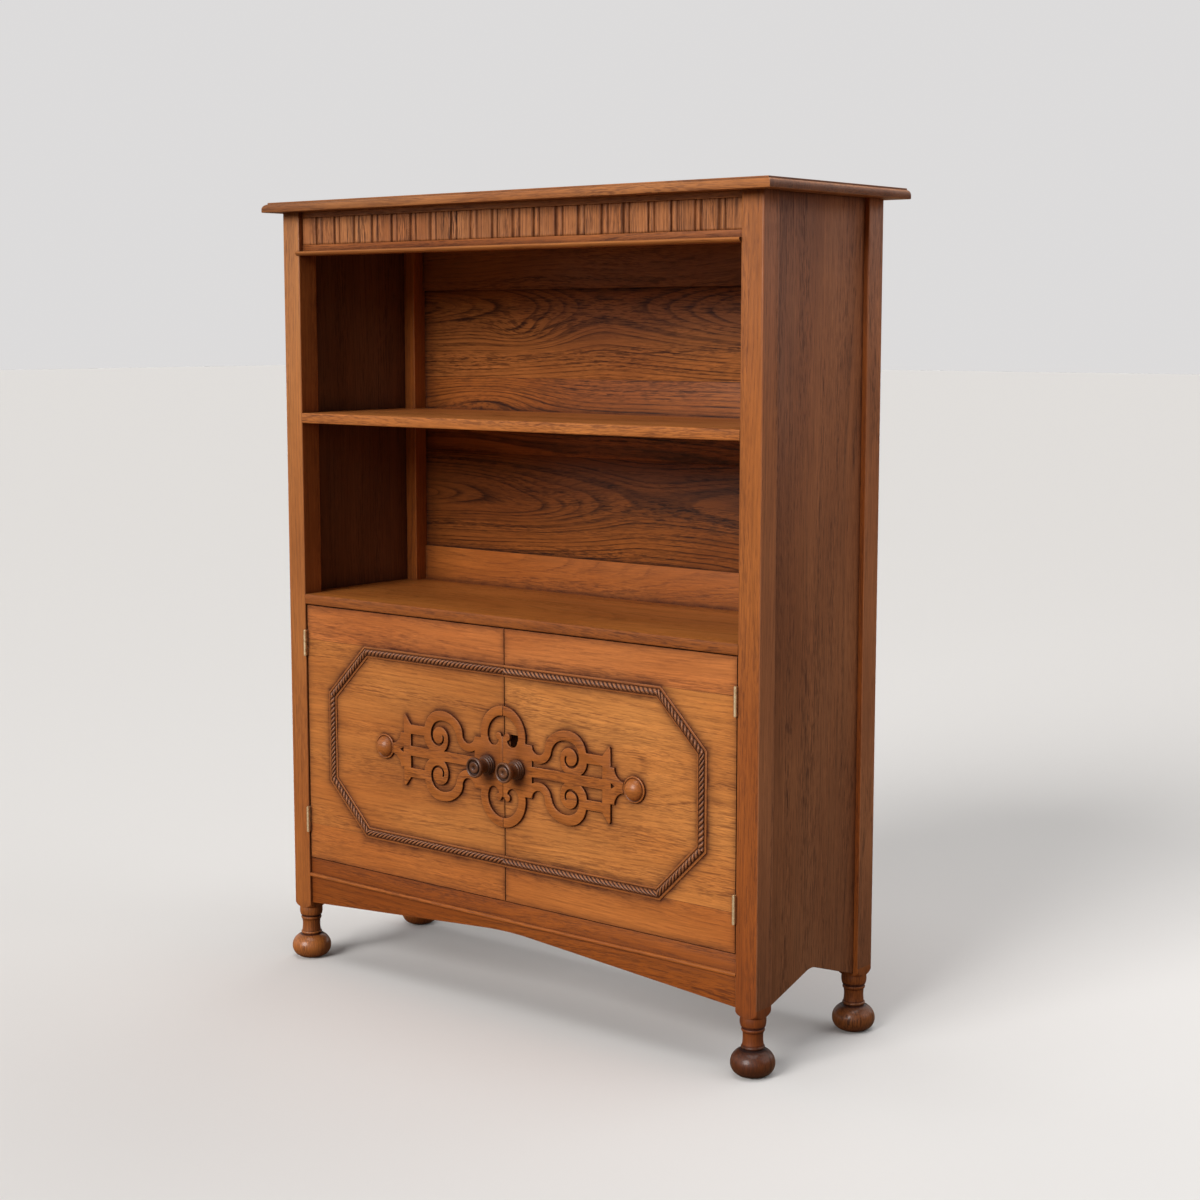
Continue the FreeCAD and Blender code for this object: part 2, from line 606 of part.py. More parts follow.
def lathe_y(x, z, edges_rd):
    """Solid of revolution about a front-to-back axis; the points are radius and depth d."""
    out = []
    for pts in edges_rd:
        v = [Vector(x + r, Y(d), z) for r, d in pts]
        out.append(edge_line(*v) if len(v) == 2 else edge_arc(*v))
    return turned(out, Vector(x, 0, z), Vector(0, 1, 0))


b0 = DOOR_D0
# the dome is a cap of a sphere centred on the axis, inside a half-round rim
dome_h = BOSS_OUT - 4.2
dome_R = (BOSS_DOME_R ** 2 + dome_h ** 2) / (2 * dome_h)
dome_a = math.asin(BOSS_DOME_R / dome_R)
dome_c = b0 - BOSS_OUT + dome_R
boss = lathe_y(BOSS_X, ORN_Z, [
    [(0, b0 + 9.0), (4.0, b0 + 9.0)],
    [(4.0, b0 + 9.0), (4.0, b0)],
    [(4.0, b0), (BOSS_R, b0)],
    [(BOSS_R, b0), (BOSS_R, b0 - 1.6)],
    [(BOSS_R, b0 - 1.6), (17.3, b0 - 3.5), (15.8, b0 - 3.3)],
    [(15.8, b0 - 3.3), (BOSS_DOME_R, b0 - 4.2)],
    [(BOSS_DOME_R, b0 - 4.2), (dome_R * math.sin(dome_a / 2), dome_c - dome_R * math.cos(dome_a / 2)), (0, b0 - BOSS_OUT)],
    [(0, b0 - BOSS_OUT), (0, b0 + 9.0)],
])
fret = fret.cut(cyl_y(BOSS_X, ORN_Z, BOSS_R, FR_D0 - 1, FR_D1 + 1))
right["boss"] = boss

# turned knob: spigot, ringed bell-shaped base, waist, dished head with a raised middle
k0 = FR_D0
kf = -KNOB_OUT
knob = lathe_y(KNOB_X, ORN_Z, [
    [(0, k0 + 16.0), (4.5, k0 + 16.0)],
    [(4.5, k0 + 16.0), (4.5, k0)],
    [(4.5, k0), (KNOB_BASE_R - 0.5, k0)],
    [(KNOB_BASE_R - 0.5, k0), (KNOB_BASE_R, k0 - 1.8), (12.9, k0 - 3.8)],
    [(12.9, k0 - 3.8), (13.0, k0 - 5.4), (11.9, k0 - 7.0)],
    [(11.9, k0 - 7.0), (12.0, k0 - 8.7), (10.8, k0 - 10.2)],
    [(10.8, k0 - 10.2), (9.4, k0 - 16.0), (10.4, k0 - 21.4)],
    [(10.4, k0 - 21.4), (13.2, k0 - 23.6), (KNOB_HEAD_R, k0 - 26.6)],
    [(KNOB_HEAD_R, k0 - 26.6), (14.0, kf + 1.0), (12.8, kf)],
    [(12.8, kf), (11.6, kf + 0.6), (10.6, kf + 2.8)],
    [(10.6, kf + 2.8), (8.8, kf + 3.1)],
    [(8.8, kf + 3.1), (7.6, kf + 1.0), (5.6, kf + 0.7)],
    [(5.6, kf + 0.7), (3.4, kf + 1.0)],
    [(3.4, kf + 1.0), (2.4, kf + 1.8), (1.6, kf + 2.9)],
    [(1.6, kf + 2.9), (0, kf + 3.1)],
    [(0, kf + 3.1), (0, k0 + 16.0)],
])
right["knob"] = knob
spigot = cyl_y(KNOB_X, ORN_Z, 4.5, FR_D0 - 1, k0 + 16.0)
fret = fret.cut(spigot)
right["fret"] = fret
for n in ("door_panel",):
    right[n] = right[n].cut(spigot).cut(cyl_y(BOSS_X, ORN_Z, 4.0, DOOR_D0 - 1, b0 + 9.0))

left = {n: mirror_x(s) for n, s in right.items()}

# ---------------------------------------------------------------------------
# Butt hinges in the gap between post and door; the knuckles stand in front.
# ---------------------------------------------------------------------------
pin_x = IN - DOOR_GAP_SIDE / 2.0
pin_d = -PIN_FRONT
seg = HINGE_LEN / KNUCKLES


def knuckle(zc, ks, x0, x1, bore):
    """The knuckles of one leaf, each with the tongue that joins it to the plate."""
    out = []
    for k in ks:
        a = zc - HINGE_LEN / 2 + k * seg + KNUCKLE_GAP / 2
        b = zc - HINGE_LEN / 2 + (k + 1) * seg - KNUCKLE_GAP / 2
        barrel = cyl_z(pin_x, pin_d, a, b, KNUCKLE_R)
        tongue = box(x0, x1, pin_d, 0.3, a, b)
        out.append(fuse([barrel, tongue]).cut(cyl_z(pin_x, pin_d, a - 1, b + 1, bore)))
    return out


def leaf(zc, frame_side):
    x0, x1 = (IN - LEAF_T, IN) if frame_side else (DOOR_EDGE, DOOR_EDGE + LEAF_T)
    plate = box(x0, x1, 0.2, LEAF_BACK, zc - HINGE_LEN / 2, zc + HINGE_LEN / 2)
    ks = range(0, KNUCKLES, 2) if frame_side else range(1, KNUCKLES, 2)
    bore = PIN_R if frame_side else PIN_R + PIN_CLEAR
    return fuse([plate] + knuckle(zc, ks, x0, x1, bore))


def hinge_screw(z, frame_side):
    """Countersunk screw through a leaf, flush with it."""
    d = 8.0
    if frame_side:
        xs, sgn = IN - LEAF_T, 1
    else:
        xs, sgn = DOOR_EDGE + LEAF_T, -1
    pts = [(0, 0), (2.3, 0), (1.3, LEAF_T), (1.15, 11.0), (0, 12.0)]
    v = [Vector(xs + sgn * l, Y(d) + r, z) for r, l in pts]
    return turned([edge_line(v[i], v[(i + 1) % len(v)]) for i in range(len(v))], Vector(xs, Y(d), z), Vector(1, 0, 0))


frame_leaves, door_leaves, pins, frame_screws, door_screws = [], [], [], [], []
for zc in (HINGE_UP_Z, HINGE_LOW_Z):
    fs = [hinge_screw(zc + o, True) for o in (-12.0, 12.0)]
    ds = [hinge_screw(zc + o, False) for o in (-12.0, 12.0)]
    fl, dl = leaf(zc, True), leaf(zc, False)
    for s in fs:
        fl = fl.cut(s)
    for s in ds:
        dl = dl.cut(s)
    frame_leaves.append(fl)
    door_leaves.append(dl)
    frame_screws += fs
    door_screws += ds
    rod = cyl_z(pin_x, pin_d, zc - HINGE_LEN / 2 + KNUCKLE_GAP / 2, zc + HINGE_LEN / 2 - KNUCKLE_GAP / 2, PIN_R)
    heads = [cyl_z(pin_x, pin_d, zc + HINGE_LEN / 2 - KNUCKLE_GAP / 2, zc + HINGE_LEN / 2 + 0.7, 1.7),
             cyl_z(pin_x, pin_d, zc - HINGE_LEN / 2 - 0.7, zc - HINGE_LEN / 2 + KNUCKLE_GAP / 2, 1.7)]
    pins.append(fuse([rod] + heads))

for n in ("door_bottom_rail", "door_panel", "door_top_rail"):
    for s in door_screws:
        right[n] = right[n].cut(s)
        left[n] = left[n].cut(mirror_x(s))

compound = Part.makeCompound
pieces["right_hinge_frame_leaves"] = compound(frame_leaves)
pieces["left_hinge_frame_leaves"] = compound([mirror_x(s) for s in frame_leaves])
pieces["right_hinge_door_leaves"] = compound(door_leaves)
pieces["left_hinge_door_leaves"] = compound([mirror_x(s) for s in door_leaves])
pieces["right_hinge_pins"] = compound(pins)
pieces["left_hinge_pins"] = compound([mirror_x(s) for s in pins])
pieces["hinge_frame_screws"] = compound(frame_screws + [mirror_x(s) for s in frame_screws])
pieces["right_hinge_door_screws"] = compound(door_screws)
pieces["left_hinge_door_screws"] = compound([mirror_x(s) for s in door_screws])

# ---------------------------------------------------------------------------
# Cupboard lock on the back of the right door: case, bolt and the opening for the key.
# ---------------------------------------------------------------------------
lk_x0, lk_x1 = 3.0, 43.0
lk_z0, lk_z1 = KEY_Z - 20.0, KEY_Z + 22.0
lk_d0, lk_d1 = DOOR_D1, DOOR_D1 + 8.0
case = box(lk_x0, lk_x1, lk_d0, lk_d1, lk_z0, lk_z1)
bolt_z0, bolt_z1 = KEY_Z + 9.0, KEY_Z + 18.0
case = case.cut(box(lk_x0 - 1, lk_x0 + 30.4, lk_d0 + 1.7, lk_d1 - 1.7, bolt_z0 - 0.3, bolt_z1 + 0.3))
key_slot = fuse([cyl_y(KEY_X, KEY_Z + 2.0, 2.4, DOOR_D1 - 1, lk_d0 + 5.0),
                 box(KEY_X - 1.2, KEY_X + 1.2, DOOR_D1 - 1, lk_d0 + 5.0, KEY_Z - 6.0, KEY_Z + 2.0)])
case = case.cut(key_slot)
keyhole = box(KEY_X - KEY_HOLE_W / 2, KEY_X + KEY_HOLE_W / 2, DOOR_D0 - 1, DOOR_D1 + 1, KEY_Z - KEY_HOLE_H / 2, KEY_Z + KEY_HOLE_H / 2)
bolt = box(lk_x0 + 0.2, lk_x0 + 22.0, lk_d0 + 2.0, lk_d1 - 2.0, bolt_z0, bolt_z1)
lock_screws = []
for x, z in ((lk_x0 + 4.0, lk_z0 + 4.0), (lk_x1 - 4.0, lk_z1 - 4.0), (lk_x1 - 4.0, lk_z0 + 4.0)):
    pts = [(0, lk_d1), (2.2, lk_d1), (1.2, lk_d1 - 1.2), (1.1, DOOR_D1 - 9.0), (0, DOOR_D1 - 10.0)]
    v = [Vector(x + r, Y(d), z) for r, d in pts]
    lock_screws.append(turned([edge_line(v[i], v[(i + 1) % len(v)]) for i in range(len(v))], Vector(x, 0, z), Vector(0, 1, 0)))
right["door_panel"] = right["door_panel"].cut(keyhole)
for s in lock_screws:
    case = case.cut(s)
    right["door_panel"] = right["door_panel"].cut(s)
pieces["lock_case"] = case
pieces["lock_bolt"] = bolt
pieces["lock_screws"] = compound(lock_screws)

# ---------------------------------------------------------------------------
# Small slide bolt on the back of the left door: plate with two keepers, rod with a thumb button.
# ---------------------------------------------------------------------------
sb_x = -22.0
sb_z1 = DOOR_Z1 - 6.0
sb_z0 = sb_z1 - 54.0
rod_d = DOOR_D1 + 5.0
plate = box(sb_x - 8.0, sb_x + 8.0, DOOR_D1, DOOR_D1 + 1.2, sb_z0, sb_z1)
keepers = []
for z0 in (sb_z1 - 8.0, sb_z0 + 2.0):
    keepers.append(box(sb_x - 5.0, sb_x + 5.0, DOOR_D1 + 1.2, DOOR_D1 + 9.0, z0, z0 + 6.0).cut(
        cyl_z(sb_x, rod_d, z0 - 1, z0 + 7.0, 2.56)))
bolt_plate = fuse([plate] + keepers)
rod = cyl_z(sb_x, rod_d, sb_z0 + 0.5, sb_z1, 2.5)
button = cyl_y(sb_x, sb_z0 + 24.0, 2.6, rod_d, rod_d + 8.0)
pieces["door_bolt_rod"] = fuse([rod, button])
bolt_screws = []
for z in (sb_z1 - 14.0, sb_z0 + 13.0):
    for dx in (-5.2, 5.2):
        v = [Vector(sb_x + dx + r, Y(d), z) for r, d in
             [(0, DOOR_D1 + 1.2), (1.7, DOOR_D1 + 1.2), (1.0, DOOR_D1), (0.9, DOOR_D1 - 7.0), (0, DOOR_D1 - 8.0)]]
        bolt_screws.append(turned([edge_line(v[i], v[(i + 1) % len(v)]) for i in range(len(v))], Vector(sb_x + dx, 0, z), Vector(0, 1, 0)))
for s in bolt_screws:
    bolt_plate = bolt_plate.cut(s)
    left["door_panel"] = left["door_panel"].cut(s)
    left["door_top_rail"] = left["door_top_rail"].cut(s)
pieces["door_bolt_plate"] = bolt_plate
pieces["door_bolt_screws"] = compound(bolt_screws)
bolt_hole = cyl_z(sb_x, rod_d, MIDDLE_TOP - BOARD_T - 1.0, MIDDLE_TOP - BOARD_T + 9.5, 2.9)
pieces["middle_board"] = pieces["middle_board"].cut(bolt_hole)

# batten under the middle board that both doors close against
stop = box(-IN + 6.0, IN - 6.0, DOOR_D1 + 0.6, DOOR_D1 + 22.0, MIDDLE_TOP - BOARD_T - 12.0, MIDDLE_TOP - BOARD_T)
stop = stop.cut(box(sb_x - 9.5, sb_x + 9.5, DOOR_D1, DOOR_D1 + 14.5, MIDDLE_TOP - BOARD_T - 13.0, MIDDLE_TOP - BOARD_T + 1.0))
pieces["door_stop"] = stop

for n, s in right.items():
    pieces["right_" + n] = s
for n, s in left.items():
    pieces["left_" + n] = s

# ---------------------------------------------------------------------------
# Mortises, grooves, screw and dowel holes in the posts.
# ---------------------------------------------------------------------------
into_posts = [pieces[n] for n in ("left_side_panel", "right_side_panel", "frieze_rail", "apron_rail", "back_top_rail", "back_middle_rail",
                                  "back_bottom_rail", "upper_back_panel", "lower_back_panel")]
into_posts += board_dowels + top_dowels + frame_screws + [mirror_x(s) for s in frame_screws]
for n, s in posts.items():
    bb = s.BoundBox
    for t in into_posts:
        if bb.intersect(t.BoundBox):
            s = s.cut(t)
    pieces[n] = s

# ---------------------------------------------------------------------------
for old in os.listdir("parts"):
    if old.endswith(".step") and old[:-5] not in pieces:
        os.remove(os.path.join("parts", old))
total = 0.0
box_all = None
for n in sorted(pieces):
    s = pieces[n]
    solids = s.Solids
    ok = s.isValid() and len(solids) >= 1
    b = s.BoundBox
    box_all = b if box_all is None else box_all.united(b)
    total += s.Volume
    print("%-28s solids %2d valid %s  X %.1f..%.1f  Y %.1f..%.1f  Z %.1f..%.1f  %.1f cm3" % (
        n, len(solids), ok, b.XMin, b.XMax, b.YMin, b.YMax, b.ZMin, b.ZMax, s.Volume / 1000.0))
    out = solids[0] if len(solids) == 1 else Part.makeCompound(solids)
    out.exportStep(os.path.join("parts", n + ".step"))
print(len(pieces), "nodes, volume %.1f cm3" % (total / 1000.0))
print("box X %.2f..%.2f Y %.2f..%.2f Z %.2f..%.2f" % (box_all.XMin, box_all.XMax, box_all.YMin, box_all.YMax, box_all.ZMin, box_all.ZMax))
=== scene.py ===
import math

import bmesh
import bpy
import numpy as np
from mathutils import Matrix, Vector


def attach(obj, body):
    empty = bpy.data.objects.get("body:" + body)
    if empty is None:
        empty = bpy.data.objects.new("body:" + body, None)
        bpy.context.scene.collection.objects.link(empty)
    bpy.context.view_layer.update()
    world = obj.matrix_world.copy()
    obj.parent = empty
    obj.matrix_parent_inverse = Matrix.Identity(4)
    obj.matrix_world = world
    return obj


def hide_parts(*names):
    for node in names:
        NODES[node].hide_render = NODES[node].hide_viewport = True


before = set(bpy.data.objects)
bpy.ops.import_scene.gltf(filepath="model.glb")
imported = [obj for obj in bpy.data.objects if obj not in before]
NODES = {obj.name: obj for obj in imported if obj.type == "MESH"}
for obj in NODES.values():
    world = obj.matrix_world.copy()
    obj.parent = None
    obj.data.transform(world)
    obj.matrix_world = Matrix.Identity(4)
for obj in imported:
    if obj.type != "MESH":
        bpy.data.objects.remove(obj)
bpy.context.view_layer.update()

# ---------------------------------------------------------------------------
# Sizes in millimetres, as the construction has them. d is the depth behind the
# front faces of the posts; Y(d) is the same depth in the row frame, in metres.
# ---------------------------------------------------------------------------
SHIFT = 134.5
HALF, POST, DEPTH = 434.0, 34.0, 272.0
IN = HALF - POST
POST_C = HALF - POST / 2
TOP_Z, TOP_UNDER = 1143.0, 1128.6
ORN_Z = 353.8
DOOR_D0, DOOR_D1 = 2.0, 20.0
DOOR_EDGE, DOOR_MEET, ORN_MEET = 397.8, 0.7, 0.2
PANEL_IN, PANEL_OUT = 420.4, 426.4


def Y(d):
    return (d - SHIFT) / 1000.0


def P3(x, d, z):
    return Vector((x / 1000.0, Y(d), z / 1000.0))


def rnd(*k):
    """A fixed pseudo-random number from 0 to 1 for these keys."""
    v = math.sin(sum((i + 1) * 12.9898 * float(a) + 78.233 for i, a in enumerate(k))) * 43758.5453
    return v - math.floor(v)


# ---------------------------------------------------------------------------
# Mesh helpers
# ---------------------------------------------------------------------------


def finish_mesh(name, bm, angle=32.0):
    bmesh.ops.recalc_face_normals(bm, faces=bm.faces)
    me = bpy.data.meshes.new(name)
    bm.to_mesh(me)
    bm.free()
    for p in me.polygons:
        p.use_smooth = True
    me.set_sharp_from_angle(angle=math.radians(angle))
    ob = bpy.data.objects.new(name, me)
    bpy.context.scene.collection.objects.link(ob)
    return ob


def ease(bm, width, segments=3, keep=None, angle=25.0):
    """Rounds the outward edges."""
    bm.normal_update()
    edges = []
    for e in bm.edges:
        if len(e.link_faces) != 2 or not e.is_convex:
            continue
        if e.calc_face_angle(0.0) < math.radians(angle):
            continue
        if keep is None or keep(e):
            edges.append(e)
    if edges and width > 0:
        bmesh.ops.bevel(bm, geom=edges, offset=width / 1000.0, offset_type="OFFSET", segments=segments, profile=0.5, affect="EDGES",
                        clamp_overlap=True, loop_slide=True)


def place(plane, a, b, c):
    if plane == "xz":
        return P3(a, c, b)
    if plane == "dz":
        return P3(c, a, b)
    return P3(a, b, c)   # "xd"


def prism(name, pts, plane, c0, c1, width=0.8, segments=3, keep=None):
    bm = bmesh.new()
    low = [bm.verts.new(place(plane, a, b, c0)) for a, b in pts]
    high = [bm.verts.new(place(plane, a, b, c1)) for a, b in pts]
    n = len(pts)
    bm.faces.new(low)
    bm.faces.new(list(reversed(high)))
    for i in range(n):
        j = (i + 1) % n
        bm.faces.new([low[j], low[i], high[i], high[j]])
    bmesh.ops.recalc_face_normals(bm, faces=bm.faces)
    ease(bm, width, segments, keep)
    return finish_mesh(name, bm)


def board_box(name, x0, x1, d0, d1, z0, z1, width=0.8, segments=3, keep=None):
    return prism(name, [(x0, z0), (x1, z0), (x1, z1), (x0, z1)], "xz", d0, d1, width, segments, keep)


def arc3(p, q, r, n):
    """Points of the circle through p, q and r, from p to r."""
    ax, ay, bx, by, cx, cy = *p, *q, *r
    den = 2 * (ax * (by - cy) + bx * (cy - ay) + cx * (ay - by))
    if abs(den) < 1e-9:
        return [p, r]
    ux = ((ax * ax + ay * ay) * (by - cy) + (bx * bx + by * by) * (cy - ay) + (cx * cx + cy * cy) * (ay - by)) / den
    uy = ((ax * ax + ay * ay) * (cx - bx) + (bx * bx + by * by) * (ax - cx) + (cx * cx + cy * cy) * (bx - ax)) / den
    a0, a1, a2 = (math.atan2(v[1] - uy, v[0] - ux) for v in (p, q, r))
    rad = math.hypot(ax - ux, ay - uy)

    def turn(a, b):
        return (b - a) % (2 * math.pi)
    sweep = turn(a0, a2)
    if turn(a0, a1) > sweep:
        sweep -= 2 * math.pi
    return [(ux + rad * math.cos(a0 + sweep * i / n), uy + rad * math.sin(a0 + sweep * i / n)) for i in range(n + 1)]


def outline(parts, n=10):
    pts = []
    for part in parts:
        seg = list(part) if len(part) == 2 else arc3(*part, n)
        for q in seg:
            if not pts or math.hypot(q[0] - pts[-1][0], q[1] - pts[-1][1]) > 1e-6:
                pts.append(q)
    return pts


def lathe(name, profile, put, n=96, radius=None):
    """Surface of revolution. put(r cos, r sin, h) gives the place; radius(r, h, angle) can change the radius."""
    bm = bmesh.new()
    rings = []
    for r, h in profile:
        if r < 1e-6:
            rings.append([bm.verts.new(put(0.0, 0.0, h))])
            continue
        ring = []
        for i in range(n):
            a = 2 * math.pi * (i + 0.5) / n
            rr = radius(r, h, a) if radius else r
            ring.append(bm.verts.new(put(rr * math.cos(a), rr * math.sin(a), h)))
        rings.append(ring)
    for a, b in zip(rings, rings[1:]):
        for i in range(n):
            j = (i + 1) % n
            if len(a) == 1 and len(b) == 1:
                continue
            if len(a) == 1:
                bm.faces.new([a[0], b[j], b[i]])
            elif len(b) == 1:
                bm.faces.new([a[i], a[j], b[0]])
            else:
                bm.faces.new([a[i], a[j], b[j], b[i]])
    for ring in (rings[0], rings[-1]):
        if len(ring) > 1:
            bm.faces.new(ring)
    return finish_mesh(name, bm, 38.0)


# ---------------------------------------------------------------------------
# Materials
# ---------------------------------------------------------------------------


class Net:
    """Short hand for wiring a node tree."""

    def __init__(self, tree):
        self.t = tree

    def node(self, kind, **props):
        n = self.t.nodes.new(kind)
        for k, v in props.items():
            setattr(n, k, v)
        return n

    def put(self, socket, value):
        if isinstance(value, bpy.types.NodeSocket):
            self.t.links.new(value, socket)
        elif value is not None:
            socket.default_value = value

    def math(self, op, a, b=None, c=None, clamp=False):
        n = self.node("ShaderNodeMath", operation=op, use_clamp=clamp)
        for s, v in zip(n.inputs, (a, b, c)):
            self.put(s, v)
        return n.outputs[0]

    def vec(self, op, a, b=None, scale=None):
        n = self.node("ShaderNodeVectorMath", operation=op)
        self.put(n.inputs[0], a)
        if b is not None:
            self.put(n.inputs[1], b)
        if scale is not None:
            self.put(n.inputs["Scale"], scale)
        return n.outputs["Value"] if op in ("DOT_PRODUCT", "LENGTH") else n.outputs["Vector"]

    def noise(self, vector, detail=2.0, rough=0.5, colour=False, scale=1.0):
        n = self.node("ShaderNodeTexNoise", noise_dimensions="3D")
        self.put(n.inputs["Vector"], vector)
        n.inputs["Scale"].default_value = scale
        n.inputs["Detail"].default_value = detail
        n.inputs["Roughness"].default_value = rough
        return n.outputs["Color"] if colour else n.outputs[0]

    def ramp(self, v, a, b, lo=0.0, hi=1.0, kind="SMOOTHSTEP"):
        n = self.node("ShaderNodeMapRange", interpolation_type=kind)
        for s, x in zip(("Value", "From Min", "From Max", "To Min", "To Max"), (v, a, b, lo, hi)):
            self.put(n.inputs[s], x)
        return n.outputs["Result"]

    def mix(self, f, a, b, mode="MIX"):
        n = self.node("ShaderNodeMix", data_type="RGBA", blend_type=mode, clamp_factor=True)
        self.put(n.inputs["Factor"], f)
        self.put(n.inputs[6], a)
        self.put(n.inputs[7], b)
        return n.outputs[2]


def oak_group():
    g = bpy.data.node_groups.new("oak", "ShaderNodeTree")
    face = g.interface
    for name, kind, default in (
        ("Grain", "NodeSocketVector", (0, 0, 0)), ("Light", "NodeSocketColor", (0.5, 0.25, 0.1, 1)), ("Mid", "NodeSocketColor", (0.4, 0.18, 0.07, 1)),
        ("Dark", "NodeSocketColor", (0.12, 0.05, 0.02, 1)), ("Ring", "NodeSocketFloat", 0.006), ("Pith across", "NodeSocketFloat", 0.02),
        ("Pith depth", "NodeSocketFloat", 0.08), ("Tilt", "NodeSocketFloat", 0.05), ("Figure", "NodeSocketFloat", 0.6),
        ("Pores", "NodeSocketFloat", 0.6), ("Wave", "NodeSocketFloat", 1.0), ("Wear", "NodeSocketFloat", 0.5), ("Shade and dirt", "NodeSocketFloat", 0.5),
        ("Fleck", "NodeSocketFloat", 0.3), ("Rim", "NodeSocketFloat", 1.0), ("Rim soil", "NodeSocketFloat", 0.0), ("Stain", "NodeSocketFloat", 0.5),
        ("Swell", "NodeSocketFloat", 0.0), ("Shade and grime", "NodeSocketFloat", 0.0), ("End", "NodeSocketFloat", 0.0), ("Bow", "NodeSocketFloat", 0.0),
    ):
        s = face.new_socket(name=name, in_out="INPUT", socket_type=kind)
        s.default_value = default
    face.new_socket(name="Color", in_out="OUTPUT", socket_type="NodeSocketColor")
    face.new_socket(name="Roughness", in_out="OUTPUT", socket_type="NodeSocketFloat")
    face.new_socket(name="Height", in_out="OUTPUT", socket_type="NodeSocketFloat")
    w = Net(g)
    i = w.node("NodeGroupInput").outputs
    out = w.node("NodeGroupOutput").inputs
    p = i["Grain"]
    half = (0.5, 0.5, 0.5)

    # slow wander of the growth rings, then a fine one
    w1 = w.vec("SUBTRACT", w.noise(w.vec("MULTIPLY", p, (1.5, 5.0, 5.0)), 1.5, 0.45, True), half)
    w1 = w.vec("SCALE", w.vec("MULTIPLY", w1, (0.0, 0.075, 0.075)), scale=i["Wave"])
    w2 = w.vec("SUBTRACT", w.noise(w.vec("MULTIPLY", p, (10.0, 30.0, 30.0)), 1.5, 0.5, True), half)
    w2 = w.vec("SCALE", w.vec("MULTIPLY", w2, (0.0, 0.0045, 0.0045)), scale=i["Wave"])
    aside = w.node("ShaderNodeCombineXYZ")
    w.put(aside.inputs[1], i["Swell"])
    q = w.vec("ADD", w.vec("ADD", w.vec("ADD", p, w1), w2), aside.outputs[0])
    xyz = w.node("ShaderNodeSeparateXYZ")
    w.put(xyz.inputs[0], q)
    across = w.math("SUBTRACT", xyz.outputs[1], i["Pith across"])
    depth = w.math("SUBTRACT", w.math("SUBTRACT", xyz.outputs[2], i["Pith depth"]), w.math("MULTIPLY", xyz.outputs[0], i["Tilt"]))
    depth = w.math("ADD", depth, i["Bow"])
    radius = w.math("SQRT", w.math("ADD", w.math("MULTIPLY", across, across), w.math("MULTIPLY", depth, depth)))
    rings = w.math("DIVIDE", radius, i["Ring"])
    # years of slow and quick growth
    lone = w.node("ShaderNodeCombineXYZ")
    w.put(lone.inputs[0], w.math("MULTIPLY", radius, 70.0))
    lone.inputs[1].default_value = 3.7
    rings = w.math("ADD", rings, w.math("MULTIPLY", w.noise(lone.outputs[0], 2.0, 0.5), 3.4))
    t = w.math("FRACT", rings)
    early = w.math("MAXIMUM", w.ramp(t, 0.0, 0.48, 1.0, 0.0), w.ramp(t, 0.86, 1.0, 0.0, 1.0))
    shade = w.node("ShaderNodeTexWhiteNoise", noise_dimensions="1D")
    w.put(shade.inputs["W"], w.math("FLOOR", rings))
    early = w.math("MULTIPLY", early, w.math("ADD", w.math("MULTIPLY", shade.outputs["Value"], 0.7), 0.4))
    # a ring line fades and comes back along the board
    early = w.math("MULTIPLY", early, w.ramp(w.noise(w.vec("MULTIPLY", q, (9.0, 60.0, 60.0)), 2.0, 0.6), 0.25, 0.62, 0.3, 1.0))

    # pores: short dark dashes along the grain, thick in some bands and thin in others
    band = w.ramp(w.noise(w.vec("MULTIPLY", q, (1.8, 30.0, 30.0)), 2.0, 0.55), 0.38, 0.66)
    coarse = w.ramp(w.noise(w.vec("MULTIPLY", q, (32.0, 430.0, 430.0)), 2.0, 0.55), 0.54, 0.63)
    fine = w.ramp(w.noise(w.vec("MULTIPLY", q, (62.0, 860.0, 860.0)), 1.0, 0.5), 0.51, 0.61)
    dense = w.math("ADD", w.math("ADD", w.math("MULTIPLY", early, 0.5), w.math("MULTIPLY", band, 0.62)), 0.16)
    pores = w.math("MULTIPLY", w.math("MAXIMUM", coarse, w.math("MULTIPLY", fine, 0.8)), dense, clamp=True)
    # streaks broad and fine, cloudy colour, old stain in large patches, rays
    streak = w.math("SUBTRACT", w.noise(w.vec("MULTIPLY", q, (3.2, 120.0, 120.0)), 3.0, 0.6), 0.5)
    thin = w.math("SUBTRACT", w.noise(w.vec("MULTIPLY", q, (13.0, 460.0, 460.0)), 2.0, 0.6), 0.5)
    cloud = w.noise(w.vec("MULTIPLY", p, (3.0, 8.0, 8.0)), 3.0, 0.55)
    stain = w.ramp(w.noise(w.vec("MULTIPLY", w.vec("ADD", p, (3.3, 1.7, 0.4)), (2.2, 9.0, 9.0)), 3.0, 0.6), 0.44, 0.72)
    ray = w.ramp(w.noise(w.vec("MULTIPLY", q, (60.0, 420.0, 90.0)), 1.0, 0.5), 0.57, 0.72)

